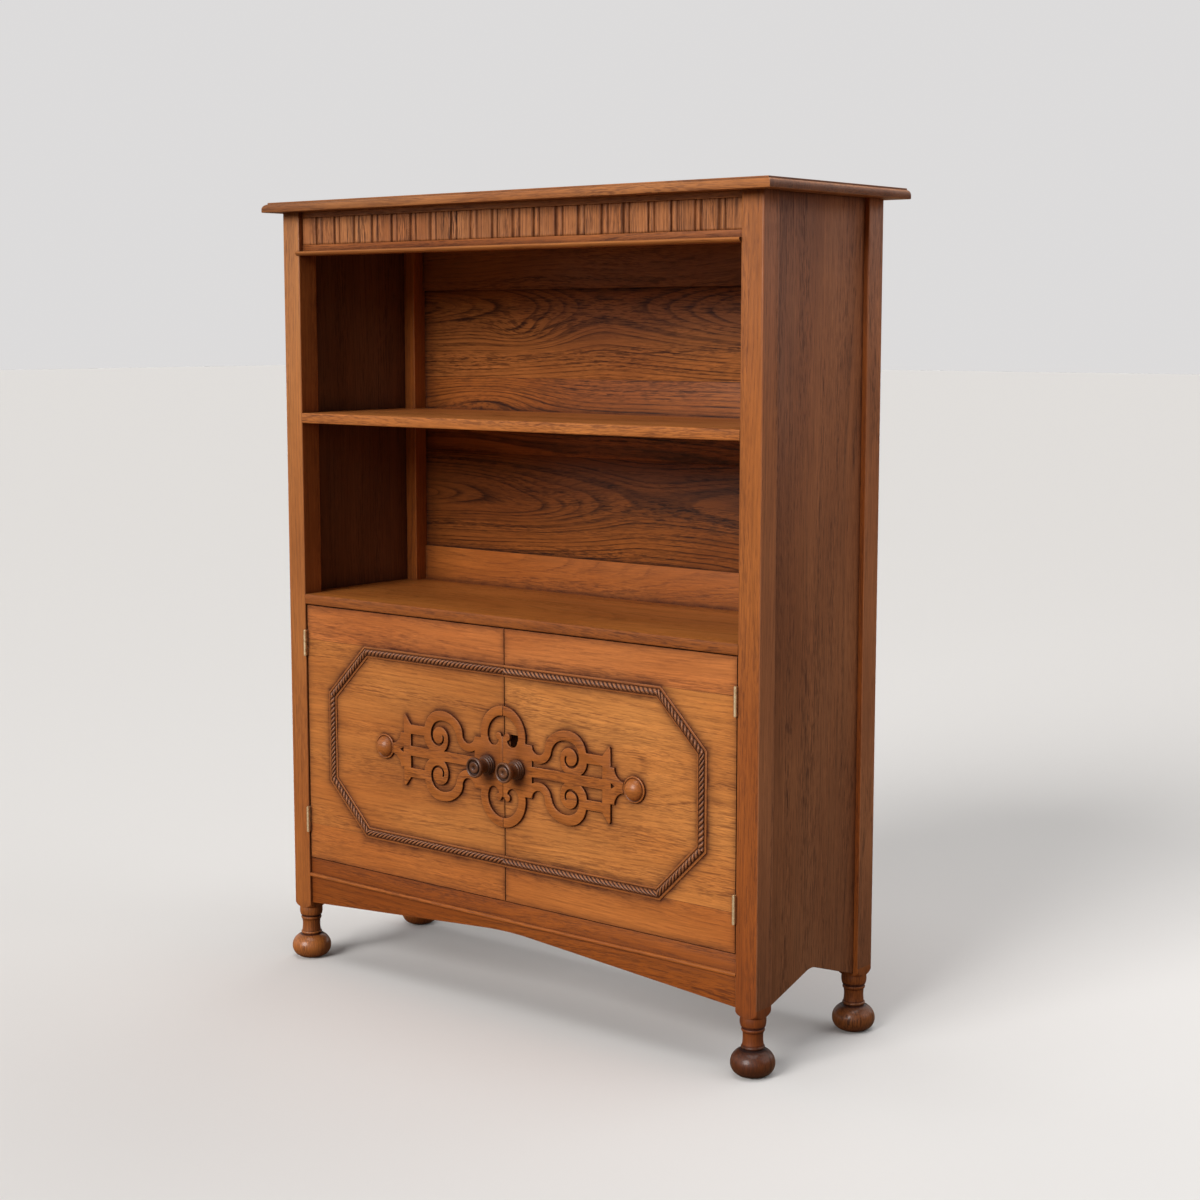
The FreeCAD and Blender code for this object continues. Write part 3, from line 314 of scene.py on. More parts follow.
    c = w.mix(w.ramp(cloud, 0.30, 0.70), i["Light"], i["Mid"])
    c = w.mix(w.math("MULTIPLY", early, i["Figure"]), c, i["Dark"])
    c = w.mix(w.math("MULTIPLY", pores, i["Pores"]), c, w.mix(1.0, i["Dark"], (0.70, 0.62, 0.58, 1.0), "MULTIPLY"))
    c = w.mix(w.math("MULTIPLY", ray, i["Fleck"]), c, w.mix(1.0, i["Light"], (1.22, 1.22, 1.20, 1.0), "MULTIPLY"))
    bright = w.math("ADD", w.math("ADD", w.math("MULTIPLY", streak, 0.54), w.math("MULTIPLY", thin, 0.66)), 1.0)
    tone = w.node("ShaderNodeCombineColor")
    for sock in tone.inputs:
        w.put(sock, bright)
    c = w.mix(1.0, c, tone.outputs[0], "MULTIPLY")
    c = w.mix(w.math("MULTIPLY", stain, i["Stain"]), c, w.mix(1.0, c, (0.56, 0.46, 0.40, 1.0), "MULTIPLY"))

    c = w.mix(i["End"], c, w.mix(1.0, c, (0.46, 0.39, 0.35, 1.0), "MULTIPLY"))

    # painted shade: ambient occlusion darkens the colour in corners, creases and recesses, made patchy so it also reads
    # as dust and old wax; dust darkening along the rims; arrises rubbed paler
    ao = w.node("ShaderNodeAmbientOcclusion", samples=6)
    ao.inputs["Distance"].default_value = 0.008
    wide = w.node("ShaderNodeAmbientOcclusion", samples=6)
    wide.inputs["Distance"].default_value = 0.030
    near = w.ramp(w.math("SUBTRACT", 1.0, ao.outputs["AO"]), 0.06, 0.46)
    far = w.ramp(w.math("SUBTRACT", 1.0, wide.outputs["AO"]), 0.02, 0.40)
    blot = w.noise(w.vec("MULTIPLY", p, (38.0, 60.0, 60.0)), 3.0, 0.6)
    rim = w.ramp(w.math("ADD", i["Rim"], w.math("MULTIPLY", w.math("SUBTRACT", blot, 0.5), 0.014)), 0.0, 0.013, 1.0, 0.0)
    shut = w.math("ADD", w.math("MULTIPLY", near, 0.60), w.math("MULTIPLY", far, 0.52), clamp=True)
    soil_and_shade = w.math("MULTIPLY", shut, w.math("MULTIPLY", i["Shade and dirt"], w.math("ADD", w.math("MULTIPLY", blot, 1.1), 0.42)), clamp=True)
    soil_and_shade = w.math("MAXIMUM", soil_and_shade, w.math("MULTIPLY", rim, i["Rim soil"]))
    # painted shade with some grime, given per point by an attribute made with each mesh
    soil_and_shade = w.math("MAXIMUM", soil_and_shade, w.math("MULTIPLY", i["Shade and grime"], w.math("ADD", w.math("MULTIPLY", blot, 1.3), 0.30)), clamp=True)
    c = w.mix(soil_and_shade, c, w.mix(1.0, c, (0.17, 0.105, 0.075, 1.0), "MULTIPLY"))
    bev = w.node("ShaderNodeBevel", samples=4)
    bev.inputs["Radius"].default_value = 0.0022
    geo = w.node("ShaderNodeNewGeometry")
    edge = w.math("SUBTRACT", 1.0, w.vec("DOT_PRODUCT", bev.outputs["Normal"], geo.outputs["Normal"]))
    patch = w.ramp(w.noise(w.vec("MULTIPLY", p, (26.0, 70.0, 70.0)), 2.0, 0.6), 0.34, 0.62)
    rub = w.math("MULTIPLY", w.math("MULTIPLY", w.ramp(edge, 0.01, 0.13), w.ramp(ao.outputs["AO"], 0.70, 0.95)), w.math("MULTIPLY", patch, i["Wear"]))
    c = w.mix(rub, c, w.mix(1.0, i["Light"], (1.25, 1.38, 1.75, 1.0), "MULTIPLY"))

    w.put(out["Color"], c)
    rough = w.math("ADD", 0.42, w.math("MULTIPLY", pores, 0.16))
    rough = w.math("ADD", rough, w.math("MULTIPLY", w.math("SUBTRACT", cloud, 0.5), 0.22))
    w.put(out["Roughness"], w.math("ADD", rough, w.math("MULTIPLY", soil_and_shade, 0.25), clamp=True))
    h = w.math("SUBTRACT", w.math("MULTIPLY", streak, 0.35), w.math("ADD", w.math("MULTIPLY", pores, 0.8), w.math("MULTIPLY", early, 0.22)))
    w.put(out["Height"], h)
    return g


OAK = oak_group()

# tones of the stained oak, linear
GOLD = dict(light=(0.490, 0.168, 0.036), mid=(0.390, 0.118, 0.022), dark=(0.140, 0.036, 0.0078))
RED = dict(light=(0.450, 0.134, 0.024), mid=(0.355, 0.095, 0.015), dark=(0.125, 0.029, 0.0060))
DOOR = dict(light=(0.540, 0.170, 0.036), mid=(0.440, 0.122, 0.022), dark=(0.165, 0.040, 0.0085))
PANEL = dict(light=(0.620, 0.228, 0.052), mid=(0.500, 0.157, 0.030), dark=(0.180, 0.046, 0.0100))
SIDE = dict(light=(0.410, 0.145, 0.051), mid=(0.320, 0.105, 0.035), dark=(0.115, 0.035, 0.0125))
BACK = dict(light=(0.470, 0.142, 0.030), mid=(0.350, 0.094, 0.020), dark=(0.085, 0.019, 0.0050))
CARVED = dict(light=(0.430, 0.136, 0.027), mid=(0.345, 0.100, 0.018), dark=(0.120, 0.030, 0.0060))
STRIP = dict(light=(0.380, 0.124, 0.029), mid=(0.285, 0.086, 0.019), dark=(0.100, 0.027, 0.0065))
# rope: strand tops paler and greyer, worn and partly a painted sheen; the gaps between strands near black, painted
# shade with grime
ROPE = dict(light=(0.400, 0.155, 0.060), mid=(0.270, 0.094, 0.032), dark=(0.085, 0.026, 0.0090))
ROPE_GAP_SHADE = dict(light=(0.120, 0.036, 0.0120), mid=(0.080, 0.023, 0.0080), dark=(0.030, 0.009, 0.0035))
KNOB = dict(light=(0.200, 0.072, 0.024), mid=(0.100, 0.032, 0.0110), dark=(0.022, 0.007, 0.0032))
FLUTE = dict(light=(0.620, 0.250, 0.088), mid=(0.440, 0.150, 0.045), dark=(0.125, 0.036, 0.0110))
BARE = dict(light=(0.400, 0.235, 0.120), mid=(0.330, 0.185, 0.090), dark=(0.140, 0.075, 0.036))

INDEX = {"x": 0, "y": 1, "z": 2}


def tint(tones, r, g, b):
    return {k: (v[0] * r, v[1] * g, v[2] * b) for k, v in tones.items()}


def deeper(tones, up, down):
    """The same wood with more between its light and its dark."""
    return {"light": tuple(v * up for v in tones["light"]), "mid": tones["mid"], "dark": tuple(v * down for v in tones["dark"])}


def oak(name, ob, axes, tones, seed, ring=0.006, pith=(0.03, 0.11), tilt=0.05, figure=0.55, pores=0.5, wave=1.0, wear=0.5, shade_and_dirt=0.55,
        fleck=0.10, coat=0.07, bump=0.3, rim=0.0, stain=0.35, knots=(), shade_and_grime=False, end=True, bow=None, gradient=None, gloss=0.28):
    """Stained and waxed oak; axes gives the directions along the grain, across it and into the board."""
    m = bpy.data.materials.new(name)
    m.use_nodes = True
    m.node_tree.nodes.clear()
    w = Net(m.node_tree)
    co = [ob.bound_box[k] for k in range(8)]
    mid = [(min(v[k] for v in co) + max(v[k] for v in co)) / 2 for k in range(3)]
    tc = w.node("ShaderNodeTexCoord")
    sep = w.node("ShaderNodeSeparateXYZ")
    w.put(sep.inputs[0], w.vec("SUBTRACT", tc.outputs["Object"], tuple(mid)))
    com = w.node("ShaderNodeCombineXYZ")
    for k, a in enumerate(axes):
        w.put(com.inputs[k], sep.outputs[INDEX[a]])
    grain = w.vec("ADD", com.outputs[0], (seed * 3.17, 0.0, 0.0))
    g = w.node("ShaderNodeGroup", node_tree=OAK)
    w.put(g.inputs["Grain"], grain)
    for k, v in (("Light", tones["light"]), ("Mid", tones["mid"]), ("Dark", tones["dark"])):
        g.inputs[k].default_value = (*v, 1.0)
    # one of these settings is the strength of the painted shade in corners and recesses, made patchy like grime
    # the slant of the pith is counted from the board's own middle
    for k, v in (("Ring", ring), ("Pith across", pith[0]), ("Pith depth", pith[1] - tilt * seed * 3.17), ("Tilt", tilt), ("Figure", figure), ("Pores", pores),
                 ("Wave", wave), ("Wear", wear), ("Shade and dirt", shade_and_dirt), ("Fleck", fleck), ("Rim soil", rim), ("Stain", stain)):
        g.inputs[k].default_value = v
    if rim:
        # distance in from the nearest edge of the board's face
        gap = []
        for a in axes[:2]:
            j = INDEX[a]
            half = (max(v[j] for v in co) - min(v[j] for v in co)) / 2
            gap.append(w.math("SUBTRACT", half, w.math("ABSOLUTE", sep.outputs[j])))
        w.put(g.inputs["Rim"], w.math("MINIMUM", *gap))
    swell = None
    for along, across, height, long, broad in knots:
        # the grain parts round a knot
        a = w.math("DIVIDE", w.math("SUBTRACT", sep.outputs[INDEX[axes[0]]], along), long)
        b = w.math("DIVIDE", w.math("SUBTRACT", sep.outputs[INDEX[axes[1]]], across), broad)
        e = w.math("EXPONENT", w.math("MULTIPLY", w.math("ADD", w.math("MULTIPLY", a, a), w.math("MULTIPLY", b, b)), -1.0))
        e = w.math("MULTIPLY", e, height)
        swell = e if swell is None else w.math("ADD", swell, e)
    if swell is not None:
        w.put(g.inputs["Swell"], swell)
    if bow:
        # the rings run away from the face on both sides of this place
        a = w.math("SUBTRACT", sep.outputs[INDEX[axes[0]]], bow[0])
        a = w.math("SQRT", w.math("ADD", w.math("MULTIPLY", a, a), bow[2] * bow[2]))
        w.put(g.inputs["Bow"], w.math("MULTIPLY", a, bow[1]))
    if end:
        face = w.node("ShaderNodeSeparateXYZ")
        w.put(face.inputs[0], tc.outputs["Normal"])
        w.put(g.inputs["End"], w.ramp(w.math("ABSOLUTE", face.outputs[INDEX[axes[0]]]), 0.6, 0.95))
    # painted shade with some grime, read per point from the mesh
    if shade_and_grime:
        w.put(g.inputs["Shade and grime"], w.node("ShaderNodeAttribute", attribute_name="shade_and_grime").outputs["Fac"])
    b = w.node("ShaderNodeBump")
    b.inputs["Strength"].default_value = bump
    b.inputs["Distance"].default_value = 0.0005
    w.put(b.inputs["Height"], g.outputs["Height"])
    colour = g.outputs["Color"]
    if gradient:
        # one end darker than the other along the grain, by a straight ramp; on the side panels and front posts this is
        # painted shade and sheen
        j = INDEX[axes[0]]
        half = (max(v[j] for v in co) - min(v[j] for v in co)) / 2
        far = w.ramp(sep.outputs[j], -half, half, kind="LINEAR")
        colour = w.mix(1.0, colour, w.mix(far, (*gradient[0], 1.0), (*gradient[1], 1.0)), "MULTIPLY")
    s = w.node("ShaderNodeBsdfPrincipled")
    w.put(s.inputs["Base Color"], colour)
    w.put(s.inputs["Roughness"], g.outputs["Roughness"])
    w.put(s.inputs["Normal"], b.outputs["Normal"])
    s.inputs["Specular IOR Level"].default_value = 0.28
    s.inputs["Coat Weight"].default_value = coat
    s.inputs["Coat Roughness"].default_value = gloss
    o = w.node("ShaderNodeOutputMaterial")
    w.put(o.inputs["Surface"], s.outputs[0])
    return m


def metal(name, colour, dull, rough, seed):
    """Old metal with a worn, patchy tarnish."""
    m = bpy.data.materials.new(name)
    m.use_nodes = True
    m.node_tree.nodes.clear()
    w = Net(m.node_tree)
    tc = w.node("ShaderNodeTexCoord")
    p = w.vec("ADD", tc.outputs["Object"], (seed, 0.0, 0.0))
    patch = w.noise(w.vec("SCALE", p, scale=190.0), 4.0, 0.6)
    fine = w.noise(w.vec("MULTIPLY", p, (900.0, 900.0, 2600.0)), 2.0, 0.6)
    bev = w.node("ShaderNodeBevel", samples=4)
    bev.inputs["Radius"].default_value = 0.0005
    geo = w.node("ShaderNodeNewGeometry")
    edge = w.math("SUBTRACT", 1.0, w.vec("DOT_PRODUCT", bev.outputs["Normal"], geo.outputs["Normal"]))
    f = w.math("SUBTRACT", w.ramp(patch, 0.38, 0.66), w.ramp(edge, 0.02, 0.2), clamp=True)
    s = w.node("ShaderNodeBsdfPrincipled")
    w.put(s.inputs["Base Color"], w.mix(f, (*colour, 1.0), (*dull, 1.0)))
    w.put(s.inputs["Roughness"], w.math("ADD", w.math("MULTIPLY", f, 0.22), w.math("ADD", w.math("MULTIPLY", fine, 0.16), rough), clamp=True))
    s.inputs["Metallic"].default_value = 1.0
    b = w.node("ShaderNodeBump")
    b.inputs["Strength"].default_value = 0.2
    b.inputs["Distance"].default_value = 0.0002
    w.put(b.inputs["Height"], fine)
    w.put(s.inputs["Normal"], b.outputs["Normal"])
    o = w.node("ShaderNodeOutputMaterial")
    w.put(o.inputs["Surface"], s.outputs[0])
    return m


def wear_it(ob, node, body, material):
    """Puts a finished piece in the place of its construction node."""
    if len(ob.data.materials):
        ob.data.materials.clear()
    for m in (material if isinstance(material, (list, tuple)) else [material]):
        ob.data.materials.append(m)
    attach(ob, body)
    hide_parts(node)
    return ob


UP = ("z", "x", "y")       # grain upright, seen from the front
UPSIDE = ("z", "y", "x")   # grain upright, seen from the side
LONG = ("x", "z", "y")     # grain level, seen from the front
FLAT = ("x", "y", "z")     # grain level, seen from above

# ---------------------------------------------------------------------------
# Posts: square with softened arrises, turned below the shoulder.
# ---------------------------------------------------------------------------


def square_radius(a, half, soft):
    """Distance from the middle of a square with rounded corners, in direction a."""
    a = abs((a + math.pi / 4) % (math.pi / 2) - math.pi / 4)
    flat = half - soft
    edge = half / math.cos(a)
    if half * math.tan(a) <= flat:
        return edge
    # meets the corner's quarter circle about (flat, flat)
    c, s = math.cos(a), math.sin(a)
    b = flat * (c + s)
    return b + math.sqrt(max(b * b - (2 * flat * flat - soft * soft), 0.0))


POST_PROFILE = outline([
    [(14.4, 40.5), (13.3, 49.0), (13.8, 58.4)],
    [(13.8, 58.4), (14.3, 59.2)],
    [(14.3, 59.2), (15.5, 61.6), (14.3, 64.0)],
    [(14.3, 64.0), (13.7, 64.4)],
    [(13.7, 64.4), (13.7, 65.6)],
    [(13.7, 65.6), (16.2, 66.2)],
    [(16.2, 66.2), (17.3, 72.0), (16.8, 79.0)],
], 8)
SHOULDER = outline([[(16.8, 79.0), (21.6, 82.6), (24.4, 91.0)]], 14)


def post_piece(name, x, d):
    prof = list(POST_PROFILE) + SHOULDER[1:] + [(30.0, 91.6), (30.0, 300.0), (30.0, 560.0), (30.0, 835.0), (30.0, TOP_UNDER - 0.8), (30.0, TOP_UNDER)]
    top = TOP_UNDER - 0.1

    def radius(r, h, a):
        s = square_radius(a, POST / 2, 1.3)
        if h > top:
            s -= 0.5
        return min(r, s) if h >= 79.0 else r
    return lathe(name, prof, lambda u, v, h: P3(x + u, d + v, h), 128, radius)


def bun_piece(name, x, d):
    prof = outline([
        [(0.0, 0.0), (12.6, 0.0)],
        [(12.6, 0.0), (13.4, 0.3)],
        [(13.4, 0.3), (25.7, 6.5), (29.4, 17.5)],
        [(29.4, 17.5), (25.1, 29.4), (15.2, 35.8)],
        [(15.2, 35.8), (14.2, 36.2)],
        [(14.2, 36.2), (14.2, 36.8)],
        [(14.2, 36.8), (15.7, 38.6), (14.5, 40.5)],
        [(14.5, 40.5), (0.0, 40.5)],
    ], 14)
    return lathe(name, prof, lambda u, v, h: P3(x + u, d + v, h), 112)


FOOT_TONES = {"front_left": dict(light=(0.520, 0.190, 0.046), mid=(0.400, 0.120, 0.024), dark=(0.140, 0.036, 0.008)),
              "front_right": dict(light=(0.260, 0.074, 0.014), mid=(0.096, 0.023, 0.0050), dark=(0.020, 0.005, 0.0020)),
              "rear_left": RED, "rear_right": dict(light=(0.320, 0.100, 0.022), mid=(0.115, 0.030, 0.0075), dark=(0.024, 0.006, 0.0025))}
# the front left post's paler, bluer tone is a painted sheen, and the front right post's slightly darker one is painted
# shade
POST_TONES = {"front_left": tint(RED, 1.10, 1.25, 1.45), "front_right": tint(RED, 0.95, 0.92, 0.88), "rear_left": RED, "rear_right": tint(GOLD, 0.82, 0.68, 0.55)}
# painted shade: the sides darker towards the floor; the front posts darker towards the foot, and paler and bluer
# towards the top, a painted sheen
SIDE_SHADE_GRADIENT = ((0.79, 0.88, 1.06), (1.02, 1.0, 0.98))
POST_SHADE_AND_SHEEN = {"front_left": ((0.97, 0.93, 0.95), (1.04, 1.26, 1.95)), "front_right": ((0.78, 0.68, 0.62), (1.10, 1.34, 1.95)), "rear_left": None, "rear_right": None}
for k, (corner, x, d) in enumerate((("front_left", -POST_C, 17.0), ("front_right", POST_C, 17.0), ("rear_left", -POST_C, 255.0), ("rear_right", POST_C, 255.0))):
    ob = post_piece(corner + "_post_turned", x, d)
    # painted shade: darkest in the turned grooves and low down, gone a hand's breadth up the square part, stronger on
    # the right posts
    up = np.array([v.co.z for v in ob.data.vertices]) * 1000.0
    at = ob.data.attributes.new("shade_and_grime", "FLOAT", "POINT")
    shade = np.interp(up, (40.0, 79.0, 92.0, 300.0), (0.52, 0.50, 0.27, 0.0)) * (1.0 if x > 0 else 0.62)
    groove = np.interp(up, (40.0, 40.6, 43.0, 58.2, 59.2, 60.0, 63.2, 64.0, 66.2, 67.6), (1.6, 1.3, 0.0, 0.0, 1.5, 0.0, 0.0, 2.4, 2.4, 0.0))
    at.data.foreach_set("value", np.maximum(shade, groove * (1.0 if x > 0 else 0.65)).astype(np.float32))
    kind = dict(ring=0.0040, pith=(0.09 - 0.03 * k, 0.075), tilt=0.012, figure=0.22, pores=0.60, wave=0.4, wear=0.5, stain=0.22, shade_and_dirt=0.55 if "front" in corner else 0.25, end=False,
                shade_and_grime=True)
    mats = [oak(corner + "_post_oak", ob, UP, POST_TONES[corner], 11 + k, gradient=POST_SHADE_AND_SHEEN[corner], **kind),
            oak(corner + "_post_side_oak", ob, UPSIDE, tint(SIDE, 1.12, 1.10, 1.08), 15 + k, gradient=SIDE_SHADE_GRADIENT, **dict(kind, pores=0.75, stain=0.35))]
    if "front" in corner:
        mats.append(oak(corner + "_post_inner_oak", ob, UP, tint(RED, 0.82, 0.92, 1.40), 11 + k, **kind))
    wear_it(ob, corner + "_post", "carcase", mats)
    # lit and shaded copies of the post's oak: the outer side faces take the greyer side tone and the front posts' inner
    # faces a darker, bluer one, both painted shade
    for p in ob.data.polygons:
        out = p.normal.x * (1 if x > 0 else -1) if p.center.z > 0.095 else 0.0
        p.material_index = 1 if out > 0.7 else len(mats) - 1 if out < -0.7 and len(mats) > 2 else 0
    ob = bun_piece(corner + "_bun_foot_turned", x, d)
    up = np.array([v.co.z for v in ob.data.vertices]) * 1000.0
    # painted shade: darkest where the bun meets the floor and in the grooves of its collar, stronger on the right feet
    at = ob.data.attributes.new("shade_and_grime", "FLOAT", "POINT")
    at.data.foreach_set("value", np.interp(up, (0.0, 5.0, 27.0, 34.5, 36.0, 36.9, 37.6), (0.7, 0.0, 0.0, 0.75 if x > 0 else 0.35, 1.8, 1.8, 0.3)).astype(np.float32))
    wear_it(ob, corner + "_bun_foot", "carcase",
            oak(corner + "_bun_oak", ob, UP, FOOT_TONES[corner], 21 + k, ring=0.0040, pith=(0.05, 0.06), tilt=0.05, figure=0.42, pores=0.8, wave=0.9, coat=0.30 if x > 0 else 0.42, gloss=0.17, wear=0.3, stain=0.85, end=False,
                shade_and_grime=True))

# ---------------------------------------------------------------------------
# Top board, with a thumb moulding on the front and both ends.
# ---------------------------------------------------------------------------


def top_piece():
    x1, d0, d1 = 457.0, -21.0, 302.0
    levels = [(0.7, TOP_UNDER), (0.15, TOP_UNDER + 0.35), (0.0, TOP_UNDER + 1.0)]
    nose = outline([[(0.0, TOP_UNDER + 4.7), (1.9, TOP_UNDER + 9.6), (6.2, TOP_UNDER + 12.0)]], 9)
    levels += nose + [(6.4, TOP_UNDER + 12.2), (6.45, TOP_Z - 0.7), (6.7, TOP_Z - 0.15), (7.3, TOP_Z)]
    bm = bmesh.new()
    rings = []
    for inset, z in levels:
        back = 0.0 if TOP_UNDER + 0.5 < z < TOP_Z - 0.5 else 0.5
        rings.append([bm.verts.new(P3(x, d, z)) for x, d in ((-x1 + inset, d0 + inset), (x1 - inset, d0 + inset), (x1 - inset, d1 - back), (-x1 + inset, d1 - back))])
    for a, b in zip(rings, rings[1:]):
        for i in range(4):
            j = (i + 1) % 4
            bm.faces.new([a[i], a[j], b[j], b[i]])
    bm.faces.new(list(reversed(rings[0])))
    bm.faces.new(rings[-1])
    return finish_mesh("top_board_moulded", bm, 30.0)


ob = top_piece()
# its bluer tone is a painted reflection of the pale ceiling
wear_it(ob, "top_board", "carcase", oak("top_oak", ob, FLAT, tint(GOLD, 1.0, 1.12, 1.55), 31, ring=0.0055, pith=(0.05, -0.11), tilt=0.03, figure=0.42, pores=0.9, wear=0.5, stain=0.5,
                                              gradient=((0.72, 0.72, 0.73), (1.03, 1.03, 1.06))))

# ---------------------------------------------------------------------------
# Side panels
# ---------------------------------------------------------------------------
mid_d = DEPTH / 2
s_slope = (118.0 - 84.0) / (mid_d - POST)
crown = 118.0 - 14 * s_slope
arch = [(mid_d - 14, crown)] + arc3((mid_d - 14, crown), (mid_d, crown + 2.9), (mid_d + 14, crown), 8)[1:]
side_outline = [(26.0, 84.0), (POST, 84.0)] + arch + [(DEPTH - POST, 84.0), (246.0, 84.0), (246.0, TOP_UNDER), (26.0, TOP_UNDER)]
for sgn, side in ((1, "right"), (-1, "left")):
    ob = prism(side + "_side_panel_board", side_outline, "dz", sgn * PANEL_IN, sgn * PANEL_OUT, 0.9)
    wear_it(ob, side + "_side_panel", "carcase",
            [oak(side + "_side_oak", ob, UPSIDE, SIDE, 41 + sgn, ring=0.0050, pith=(0.10 * sgn, 0.07), tilt=0.02, figure=0.26, pores=0.85, wave=0.35, wear=0.25, fleck=0.28, stain=0.5,
                 gradient=SIDE_SHADE_GRADIENT),
             oak(side + "_side_inner_oak", ob, UPSIDE, tint(SIDE, 0.48, 0.58, 0.76), 43 + sgn, ring=0.0050, pith=(0.10 * sgn, 0.07), tilt=0.02, figure=0.26, pores=0.7, wave=0.35,
                 wear=0.1, stain=0.4)])
    # painted shade: the inner faces take a darker, greyer copy of the side's oak
    for p in ob.data.polygons:
        p.material_index = 1 if p.normal.x * sgn < -0.7 else 0

# ---------------------------------------------------------------------------
# Frieze
# ---------------------------------------------------------------------------
FR0 = 7.0
sunk = [(FR0, 1065.4), (FR0, 1081.0), (FR0 + 6.0, 1081.0), (FR0 + 6.0, 1120.5), (FR0, 1120.5), (FR0, TOP_UNDER), (FR0 + 16.0, TOP_UNDER), (FR0 + 16.0, 1065.4)]
ob = prism("frieze_rail_framed", sunk, "dz", -IN, IN, 0.6)
# the upper fillet, shaded by the top's overhang, takes a lighter and much bluer copy with little corner darkening:
# painted light and a painted sheen
wear_it(ob, "frieze_rail", "carcase", [
    oak("frieze_oak", ob, LONG, tint(RED, 0.98, 1.02, 1.15), 51, ring=0.0045, pith=(0.08, 0.05), tilt=0.02, figure=0.3, pores=0.7, shade_and_dirt=0.7, wear=0.5),
    oak("frieze_upper_oak", ob, LONG, tint(RED, 1.0, 1.30, 2.5), 52, ring=0.0045, pith=(0.08, 0.05), tilt=0.02, figure=0.3, pores=0.7, shade_and_dirt=0.10, wear=0.5)])
for p in ob.data.polygons:
    p.material_index = 1 if p.center.z > 1.115 else 0


